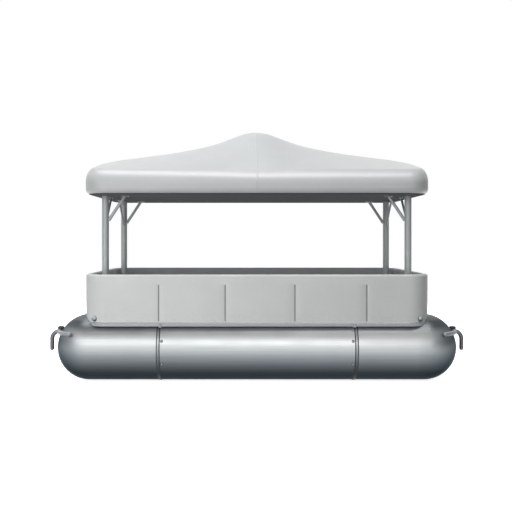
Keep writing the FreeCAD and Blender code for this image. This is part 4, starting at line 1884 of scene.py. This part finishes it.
    def edge(self, p: Vector, out: Vector, wall_steps: int) -> list[Vector]:
        """The turned hem, the valance and the crest at a point of the edge.

        Args:
            p: The point of the edge.
            out: The edge's outward normal.
            wall_steps: Straight runs in the valance.

        Returns:
            Points from under the hem up to the foot of the slopes.
        """
        low, r = self.places.canopy_bottom, self.hem_radius
        hem = [
            p - out * (r * (1 - math.cos(t))) + UP * (low + r * (1 - math.sin(t)))
            for t in reversed(evenly(QUARTER_TURN, self.hem_steps))
        ]
        crest = self.crest(p, out)
        wall = [hem[-1].lerp(crest[0], k / wall_steps) for k in range(1, wall_steps)]
        return hem + wall + crest

    def cover(self) -> bpy.types.Object:
        """Makes the whole cover: a turned hem, the valance, the crest and the slopes, as one sheet.

        Returns:
            The piece.
        """
        at = self.places
        ridge_half = at.canopy_half_length - at.canopy_half_width * self.ridge_inset
        columns = []
        for p, out in self.outline(self.around):
            edge = self.edge(p, out, self.wall_steps[0])
            ridge = Vector((max(-ridge_half, min(ridge_half, p.x)), 0, 0))
            foot = Vector((edge[-1].x, edge[-1].y, 0))
            slope = [foot.lerp(ridge, share) for share in evenly(1.0, self.rows)[1:]]
            slope = [Vector((q.x, q.y, self.tent(q.x, q.y))) for q in slope]
            columns.append([p - out * self.hem_inset + UP * at.canopy_bottom] + edge + slope)
        shape = skin(list(zip(*columns)))
        # The hem's lowest rings take the dark headliner cloth as painted shade.
        shaded_hem_faces = self.hem_shade_rings * self.around
        shape.finish = [1] * shaded_hem_faces + [0] * (len(shape.faces) - shaded_hem_faces)
        finishes, replaces = [CANOPY_CLOTH, HEADLINER], ["canopy_cover"]
        return shape.piece("canopy_cover_sheet", finishes, "canopy_fabric", replaces, sharp=60, closed=False)

    def tape(self) -> bpy.types.Object:
        """Makes the welded tape over the seam across the middle of the cover.

        Returns:
            The piece.
        """
        half, proud, sunk = self.tape_half, self.tape_proud, -self.tape_sunk
        wide = self.places.canopy_half_width
        start = wide - self.crest_reach[1]
        port = self.edge(ACROSS * wide, ACROSS, self.wall_steps[1])[self.hem_steps // 2 :]
        port += [Vector((0, y, self.tent(0, y))) for y in reversed(evenly(start, self.tape_steps)[:-1])]
        section = port + [Vector((0, -p.y, p.z)) for p in reversed(port[:-1])]
        columns = [(-half, sunk), (-half + 1 * MM, proud), (0.0, proud), (half - 1 * MM, proud), (half, sunk)]
        rows = []
        for i, p in enumerate(section):
            way = section[min(i + 1, len(section) - 1)] - section[max(i - 1, 0)]
            inward = AHEAD.cross(way.normalized())
            row = []
            for x, lift in columns:
                drop = self.tent(x, p.y) - self.tent(0, p.y) if abs(p.y) < start else 0.0
                row.append(p + AHEAD * x + UP * drop - inward * lift)
            rows.append(row)
        shape = skin(rows, open_rows=True)
        return shape.piece("canopy_seam_tape", [CANOPY_TAPE], "canopy_fabric", sharp=80, closed=False)

    def liner(self) -> bpy.types.Object:
        """Makes the headliner: a dark flat sheet inside the hem.

        Returns:
            The piece.
        """
        height = UP * (self.places.canopy_bottom + 2 * MM)
        rims = [p - out * self.hem_inset for p, out in self.outline(self.liner_around)]
        far = self.liner_spine
        spine = [AHEAD * max(-far, min(far, rim.x)) for rim in rims]
        shares = evenly(1.0, self.liner_rows)
        rows = [[rim.lerp(end, share) + height for rim, end in zip(rims, spine)] for share in shares]
        sheet = skin(rows).flipped()
        return sheet.piece("headliner_sheet", [HEADLINER], "liner_fabric", ["canopy_liner"], closed=False)


# ------------------------ benches


@dataclass
class Benches:
    """The side benches: moulded bases and padded cushions."""

    pads: int = 3
    pad_gap: float = 6 * MM
    pad_set_back: float = 16 * MM  # from the back of the bench
    pad_counts: tuple[int, int, int] = (48, 20, 6)  # of faces along each axis
    pad_corner: tuple[float, int] = (0.9, 12)  # how near an edge it turns round, and how tightly
    pad_waist: float = 0.012  # how much narrower its top and foot are, as a share
    pad_crown: tuple[float, int, int] = (0.24, 8, 4)  # share of its height, flatness along X and Y
    base_radius: float = 25 * MM
    end_radius: float = 18 * MM
    kick: float = 45 * MM
    kick_shares: Pair = (0.28, 0.38)  # of the base's height, where the recess ends
    hatch_width: float = 820 * MM
    hatch_foot: float = 0.46  # of the base's height
    hatch_corner: float = 24 * MM
    # across from the base's front face, inset
    hatch_steps: tuple[Pair, ...] = (
        (2 * MM, 0.0), (-3 * MM, 0.0), (-5 * MM, 1.5 * MM), (-5.5 * MM, 7 * MM),
    )
    hatch_head: float = 45 * MM  # below the base's top
    latch: Triple = (12 * MM, 5 * MM, 3 * MM)  # radius, rise, flange
    latch_seat: float = 5 * MM  # proud of the base's front face
    slack: float = 9 * MM  # how much smaller a cushion is before it is filled
    swell: float = 16 * MM
    swell_edge: float = 120 * MM  # how far from its edges a cushion swells less
    swell_least: float = 0.7  # of the slack, at the very edge
    swell_room: float = 8 * MM  # over the cushion's space
    voxel: float = 14 * MM
    held: float = 0.6  # how much of the cover's lowest voxels is held flat
    frames: int = 20
    pressure: float = 4.0
    channel_depth: float = 7 * MM
    channel_width: float = 15 * MM
    channel_shares: tuple[float, ...] = (1 / 3, 2 / 3)  # of a cushion's length
    piping_radius: float = 5 * MM
    piping_shares: Pair = (0.14, 0.80)  # of a cushion's height
    piping_corner: float = 30 * MM
    piping_step: float = 30 * MM
    welt_radius: float = 2.5 * MM
    welt_edge: float = 0.06  # how far from the cushion's edges a welt ends, as a share

    def build(self) -> None:
        """Makes the base and the cushions of each bench."""
        low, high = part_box("bench_cushion_port")
        length = (high.x - low.x - (self.pads - 1) * self.pad_gap) / self.pads
        high = Vector((low.x + length, high.y - self.pad_set_back, high.z))
        pad = self.filled_pad(low, high)
        trim = self.trim(pad, low, high)
        for side in Side:
            self.base(side)
            for number in range(self.pads):
                shift = AHEAD * number * (length + self.pad_gap)
                self.cushion(side, number, pad.moved(lambda p: p + shift), trim.moved(lambda p: p + shift))

    def cushion(self, side: Side, number: int, pad: Shape, trim: Shape) -> None:
        """Places one cushion and its piping on a bench.

        Args:
            side: Which bench it lies on.
            number: Its place in the row, from the stern.
            pad: The cushion on the port side.
            trim: Its piping.
        """
        node = "bench_cushion_" + side.name.lower()
        name, replaces = f"{node}_pad_{number + 1}", [node] if number == 0 else []
        thing = pad.mirrored(side).piece(name, [CUSHION_VINYL], "cushion_vinyl", replaces, sharp=80)
        trim.mirrored(side).piece(name + "_piping", [PIPING_VINYL], "cushion_vinyl")

    def base(self, side: Side) -> None:
        """Makes a moulded base with rounded ends, a toe recess and raised locker hatches.

        Args:
            side: Which side it is on.
        """
        node = "bench_base_" + side.name.lower()
        low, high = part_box("bench_base_port")
        tall, recess = high.z - low.z, low.y + self.kick
        inner, outer = (low.z + share * tall for share in self.kick_shares)
        outline = rounded([
            (high.y, low.z, 4 * MM),
            (high.y, high.z, 6 * MM),
            (low.y, high.z, self.base_radius),
            (low.y, outer, 10 * MM),
            (recess, inner, 12 * MM),
            (recess, low.z, 4 * MM),
        ])
        places = edge_rounding(low.x, high.x, self.end_radius)
        stations = [Station(AHEAD * x, ACROSS, UP) for x, _ in places]
        shape = loft([shrunk(outline, inset) for _, inset in places], stations)
        foot, head = low.z + self.hatch_foot * tall, high.z - self.hatch_head
        pitch = (high.x - low.x) / self.pads
        for number in range(self.pads):
            middle = Vector((low.x + pitch * (number + 0.5), low.y, (foot + head) / 2))
            shape.add(self.hatch(middle, head - foot))
            shape.add(dome(middle - ACROSS * self.latch_seat, -ACROSS, *self.latch).marked(1))
        shape.mirrored(side).piece(node + "_shell", [BENCH_SHELL, HARDWARE], "bench_plastic", [node])

    def hatch(self, middle: Vector, tall: float) -> Shape:
        """A raised rounded hatch on the front of the base.

        Args:
            middle: The middle of the hatch, on the front face.
            tall: Its height.

        Returns:
            The hatch.
        """
        outline = rectangle(self.hatch_width / 2, tall / 2, self.hatch_corner)
        stations = [Station(middle + ACROSS * out, AHEAD, UP) for out, _ in self.hatch_steps]
        return loft([shrunk(outline, inset) for _, inset in self.hatch_steps], stations)

    def pad(self, low: Vector, high: Vector) -> Shape:
        """A crowned cushion between two corners, flat below and pulled in between its corners.

        Args:
            low: Its lowest corner.
            high: Its highest corner.

        Returns:
            The cushion.
        """
        size, counts, shape = high - low, self.pad_counts, Shape()
        (near, tight), (share, flat_x, flat_y) = self.pad_corner, self.pad_crown
        index: dict[tuple[int, ...], int] = {}

        def corner(*key: int) -> int:
            """The number of a grid point, made when it is first asked for.

            Args:
                *key: Its steps along X, Y and Z.

            Returns:
                Its number in the shape.
            """
            if key not in index:
                u, v, w = (2 * k / n - 1 for k, n in zip(key, counts))
                reach = 1.0
                if abs(u) > near and abs(v) > near:
                    reach = min(reach, (abs(u) ** tight + abs(v) ** tight) ** (-1 / tight))
                reach *= 1 - self.pad_waist * w * w
                crown = (1 - abs(u) ** flat_x) * (1 - abs(v) ** flat_y)
                rise = 0.5 + 0.5 * w * ((1 - share + share * crown) if w > 0 else 1.0)
                index[key] = len(shape.points)
                shape.points.append(Vector((
                    low.x + size.x * (0.5 + 0.5 * u * reach),
                    low.y + size.y * (0.5 + 0.5 * v * reach),
                    low.z + size.z * rise,
                )))
            return index[key]

        for flat in range(3):
            first, second = [axis for axis in range(3) if axis != flat]
            for level, i, j in product((0, counts[flat]), range(counts[first]), range(counts[second])):
                face = []
                for di, dj in ((0, 0), (1, 0), (1, 1), (0, 1)):
                    key = [level] * 3
                    key[first], key[second] = i + di, j + dj
                    face.append(corner(*key))
                shape.faces.append(tuple(face))
                shape.finish.append(0)
        return shape

    def filled_pad(self, low: Vector, high: Vector) -> Shape:
        """The cushion after its cover has been filled: cloth under pressure, held flat below.

        Args:
            low: The lowest corner of its space.
            high: The highest corner of its space.

        Returns:
            The filled cushion.
        """
        small = Vector((self.slack, self.slack, 0))
        cover = self.pad(low + small, high - small - UP * self.slack)
        scene = bpy.context.scene
        mesh = bpy.data.meshes.new("cushion_form")
        mesh.from_pydata(cover.points, [], cover.faces)
        form = bpy.data.objects.new("cushion_form", mesh)
        scene.collection.objects.link(form)
        remesh = form.modifiers.new("remesh", "REMESH")
        remesh.mode, remesh.voxel_size = "VOXEL", self.voxel
        form.data = evaluated(form)
        form.modifiers.clear()
        start = [v.co.copy() for v in form.data.vertices]
        held = form.vertex_groups.new(name="held")
        held.add([i for i, p in enumerate(start) if p.z < low.z + self.held * self.voxel], 1.0, "REPLACE")
        cloth = form.modifiers.new("cloth", "CLOTH")
        cloth.settings.use_pressure = True
        cloth.settings.uniform_pressure_force = self.pressure
        cloth.settings.effector_weights.gravity = 0.0
        cloth.settings.vertex_group_mass = "held"
        cloth.settings.quality = 5
        cloth.point_cache.frame_start, cloth.point_cache.frame_end = 1, self.frames
        for number in range(1, self.frames + 1):
            scene.frame_set(number)
        swollen = [v.co.copy() for v in evaluated(form).vertices]
        scene.frame_set(1)
        form.modifiers.clear()
        for vertex, before, after in zip(form.data.vertices, start, swollen):
            vertex.co = self.settled(before, after, low, high)
        form.modifiers.new("smooth", "SUBSURF").levels = 1
        final = evaluated(form)
        bpy.data.objects.remove(form)
        faces = [tuple(p.vertices) for p in final.polygons]
        return Shape([v.co.copy() for v in final.vertices], faces, [0] * len(faces))

    def settled(self, before: Vector, after: Vector, low: Vector, high: Vector) -> Vector:
        """Where a point of the filled cover comes to rest.

        Args:
            before: The point before filling.
            after: The point after filling.
            low: The lowest corner of the cushion's space.
            high: The highest corner of its space.

        Returns:
            The point, with its travel limited and the sewn channels drawn down.
        """
        travel = after - before
        size = travel.length or 1.0
        edge = min(before.x - low.x, high.x - before.x, before.y - low.y, high.y - before.y)
        least = self.slack * self.swell_least
        limit = least + (self.swell - least) * min(1.0, edge / self.swell_edge) ** 0.5
        point = before + travel * (limit * math.tanh(size / limit) / size)
        if before.z > (low.z + high.z) / 2:
            for seam in self.seams(low, high):
                near = (point.x - seam) / self.channel_width
                point.z -= self.channel_depth * math.exp(-near * near)
        room = Vector((1 * MM, 1 * MM, 0))
        bottom, top = low + room, high - room + UP * self.swell_room
        return Vector([min(max(v, a), b) for v, a, b in zip(point, bottom, top)])

    def seams(self, low: Vector, high: Vector) -> list[float]:
        """Where the sewn channels cross a cushion."""
        return [low.x + (high.x - low.x) * share for share in self.channel_shares]

    def trim(self, pad: Shape, low: Vector, high: Vector) -> Shape:
        """The piping round the top and foot of a cushion, and the welts in its channels.

        Args:
            pad: The cushion.
            low: The lowest corner of its space.
            high: The highest corner of its space.

        Returns:
            The trim.
        """
        cover, shape = BVHTree.FromPolygons(pad.points, pad.faces), Shape()
        size, r = high - low, self.piping_corner
        loop = rounded([(0, 0, r), (size.x, 0, r), (size.x, size.y, r), (0, size.y, r)], 6)
        plan = []
        for i, (a, b) in enumerate(loop):
            c, d = loop[(i + 1) % len(loop)]
            count = max(1, round(math.hypot(c - a, d - b) / self.piping_step))
            plan += [(a + (c - a) * k / count, b + (d - b) * k / count) for k in range(count)]
        for share in self.piping_shares:
            level = low.z + size.z * share
            path = [cover.find_nearest(Vector((low.x + a, low.y + b, level)))[0] for a, b in plan]
            following = path[1:] + path[:1]
            path = [(path[i - 1] + p * 2 + following[i]) / 4 for i, p in enumerate(path)]
            following = path[1:] + path[:1]
            ways = [(after - path[i - 1]).normalized() for i, after in enumerate(following)]
            stations = [Station(p, way.cross(UP).normalized(), UP) for p, way in zip(path, ways)]
            shape.add(loft([circle(self.piping_radius, 10)] * len(path), stations, ring=True))
        for x in self.seams(low, high):
            shares = [self.welt_edge + share for share in evenly(1 - 2 * self.welt_edge, 20)]
            path = [cover.ray_cast(Vector((x, low.y + size.y * s, high.z + 0.1)), -UP)[0] for s in shares]
            shape.add(bar([p for p in path if p], self.welt_radius, AHEAD, sides=8))
        return shape


# ------------------------ studio


@dataclass(frozen=True)
class Lamp:
    """A soft rectangular lamp."""

    name: str
    place: Triple
    aim: Triple  # the point that it faces
    size: Pair  # width, height
    power: float  # in watts
    mirrored: bool = False  # whether shiny things show it

    def hang(self) -> None:
        """Adds the lamp to the scene."""
        data = bpy.data.lights.new(self.name, "AREA")
        data.shape, data.energy = "RECTANGLE", self.power
        data.size, data.size_y = self.size
        lamp = bpy.data.objects.new(self.name, data)
        lamp.location = self.place
        lamp.rotation_mode = "QUATERNION"
        lamp.rotation_quaternion = (Vector(self.aim) - Vector(self.place)).to_track_quat("-Z", "Y")
        lamp.visible_camera, lamp.visible_glossy = False, self.mirrored
        bpy.context.scene.collection.objects.link(lamp)


LAMPS = (
    Lamp("overhead", (-0.5, -1.3, 9.5), (0, 0, 1.5), (11.0, 3.0), 530.0, mirrored=True),
    Lamp("forward_top", (0.0, -3.8, 9.5), (0, 0, 1.5), (9.0, 3.0), 150.0),
    Lamp("key", (-4.3, -7.6, 1.2), (0, 0, 1.2), (2.5, 2.5), 195.0),
    Lamp("front_top", (-2.0, -8.0, 9.0), (0, 0, 1.5), (8.0, 3.0), 60.0),
    Lamp("front_strip", (-4.5, -14.0, 5.9), (0, 0, 0.5), (23.0, 3.8), 625.0, mirrored=True),
    Lamp("back_fill", (3.0, 11.0, 5.0), (0, 0, 1.5), (6.0, 4.0), 500.0),
    Lamp("port_end", (-8.0, 9.0, 5.0), (0, 0, 1.5), (4.0, 4.0), 300.0),
    Lamp("bow_end", (10.0, 6.0, 5.0), (0, 0, 1.5), (4.0, 4.0), 300.0),
)


@dataclass
class Studio:
    """Floor, light and camera."""

    lens: float = 49.96
    sensor: float = 36.0
    camera_place: Triple = (-0.184, -11.09, 2.011)
    shift: Pair = (0.0234, -0.0322)
    sight: float = 200.0
    floor_half: float = 60.0
    floor_glow: float = 0.84
    bounce_colour: str = "#6C6C6C"
    fill: float = 0.20
    wall_colour: str = "#404040"
    wall_shades: Pair = (0.8, 0.3)  # ahead of the bow and behind the stern
    ceiling_colour: str = "#6E6E6E"

    def build(self) -> None:
        """Makes the floor, the world, the lamps and the camera."""
        self.floor()
        self.world()
        for lamp in LAMPS:
            lamp.hang()
        data = bpy.data.cameras.new("camera")
        data.lens, data.sensor_width = self.lens, self.sensor
        data.shift_x, data.shift_y = self.shift
        data.clip_end = self.sight
        camera = bpy.data.objects.new("camera", data)
        camera.location = self.camera_place
        camera.rotation_euler = (QUARTER_TURN, 0, 0)
        scene = bpy.context.scene
        scene.collection.objects.link(camera)
        scene.camera = camera
        scene.view_settings.view_transform = "Standard"
        LOG.info("studio: %d lamps and a camera", len(LAMPS))

    @staticmethod
    def background_rays(tree: Tree) -> Socket:
        """1 for a ray that sees the background: from the camera, a gloss or through glass.

        Args:
            tree: The node tree.

        Returns:
            1 for such a ray, 0 for any other.
        """
        ray = add_node(tree, "ShaderNodeLightPath").outputs
        seen = ray["Is Camera Ray"]
        for name in ("Is Glossy Ray", "Is Transmission Ray"):
            settings = {"operation": "MAXIMUM", 0: seen, 1: ray[name]}
            seen = add_node(tree, "ShaderNodeMath", settings).outputs[0]
        return seen

    def floor(self) -> None:
        """Makes a plain pale floor, level with the bottoms of the straps."""
        half = self.floor_half
        mesh = bpy.data.meshes.new("floor")
        mesh.from_pydata([(x * half, y * half, 0) for x, y in SQUARE], [], [(0, 1, 2, 3)])
        material = bpy.data.materials.new("studio_floor")
        material.use_nodes = True
        tree = material.node_tree
        tree.nodes.clear()
        seen = self.background_rays(tree)
        settings = {"data_type": "RGBA", 0: seen, 6: self.bounce_colour, 7: "#FFFFFF"}
        shade = add_node(tree, "ShaderNodeMix", settings).outputs[2]
        matt = add_node(tree, "ShaderNodeBsdfDiffuse", {"Color": shade}).outputs[0]
        none, glow = (
            add_node(tree, "ShaderNodeEmission", {"Color": "#FFFFFF", "Strength": strength}).outputs[0]
            for strength in (0.0, self.floor_glow)
        )
        lift = add_node(tree, "ShaderNodeMixShader", {0: seen, 1: none, 2: glow}).outputs[0]
        both = add_node(tree, "ShaderNodeAddShader", {0: matt, 1: lift}).outputs[0]
        add_node(tree, "ShaderNodeOutputMaterial", {"Surface": both})
        mesh.materials.append(material)
        plane = bpy.data.objects.new("floor", mesh)
        bpy.context.scene.collection.objects.link(plane)

    def world(self) -> None:
        """Makes a pale room: white near the horizon, greyer overhead and at both ends."""
        world = bpy.data.worlds.new("studio")
        bpy.context.scene.world = world
        world.use_nodes = True
        tree = world.node_tree
        tree.nodes.clear()
        way = add_node(tree, "ShaderNodeTexCoord").outputs["Generated"]
        facing = add_node(tree, "ShaderNodeSeparateXYZ", {0: way}).outputs
        ahead, astern = self.wall_shades
        shares = []
        for axis, ends in (
            ("X", (0.2, 1.0, 0.0, ahead)),
            ("X", (-1.0, -0.2, astern, 0.0)),
            ("Z", (0.5, 0.9, 0.0, 1.0)),
        ):
            settings = {"Value": facing[axis], **dict(zip(RANGE_ENDS, ends))}
            shares.append(add_node(tree, "ShaderNodeMapRange", settings).outputs["Result"])
        bow, stern, high = shares
        wall = add_node(tree, "ShaderNodeMath", {"operation": "MAXIMUM", 0: bow, 1: stern}).outputs[0]
        camera = add_node(tree, "ShaderNodeLightPath").outputs["Is Camera Ray"]
        settings = {"data_type": "RGBA", 0: high, 6: "#FFFFFF", 7: self.ceiling_colour}
        room = add_node(tree, "ShaderNodeMix", settings).outputs[2]
        settings = {"data_type": "RGBA", 0: wall, 6: room, 7: self.wall_colour}
        mirrored = add_node(tree, "ShaderNodeMix", settings).outputs[2]
        sources = []
        for amount, first, second, strength in (
            (wall, "#FFFFFF", self.wall_colour, self.fill),
            (camera, mirrored, "#FFFFFF", 1.0),
        ):
            settings = {"data_type": "RGBA", 0: amount, 6: first, 7: second}
            colour = add_node(tree, "ShaderNodeMix", settings).outputs[2]
            source = add_node(tree, "ShaderNodeBackground", {"Strength": strength, "Color": colour})
            sources.append(source.outputs[0])
        light, shown = sources
        seen = self.background_rays(tree)
        both = add_node(tree, "ShaderNodeMixShader", {0: seen, 1: light, 2: shown}).outputs[0]
        add_node(tree, "ShaderNodeOutputWorld", {"Surface": both})


# ------------------------ the boat


def main() -> None:
    """Builds the boat in order."""
    logging.basicConfig(level=logging.INFO, format="%(name)s: %(message)s")
    places = Places.read(Fence.lip)
    Floats(places).build()
    MooringHooks(places).build()
    Platform().build()
    Fence(places).build()
    CanopyFrame(places).build()
    Canopy(places).build()
    Benches().build()
    Studio().build()


if __name__ == "__main__":
    main()
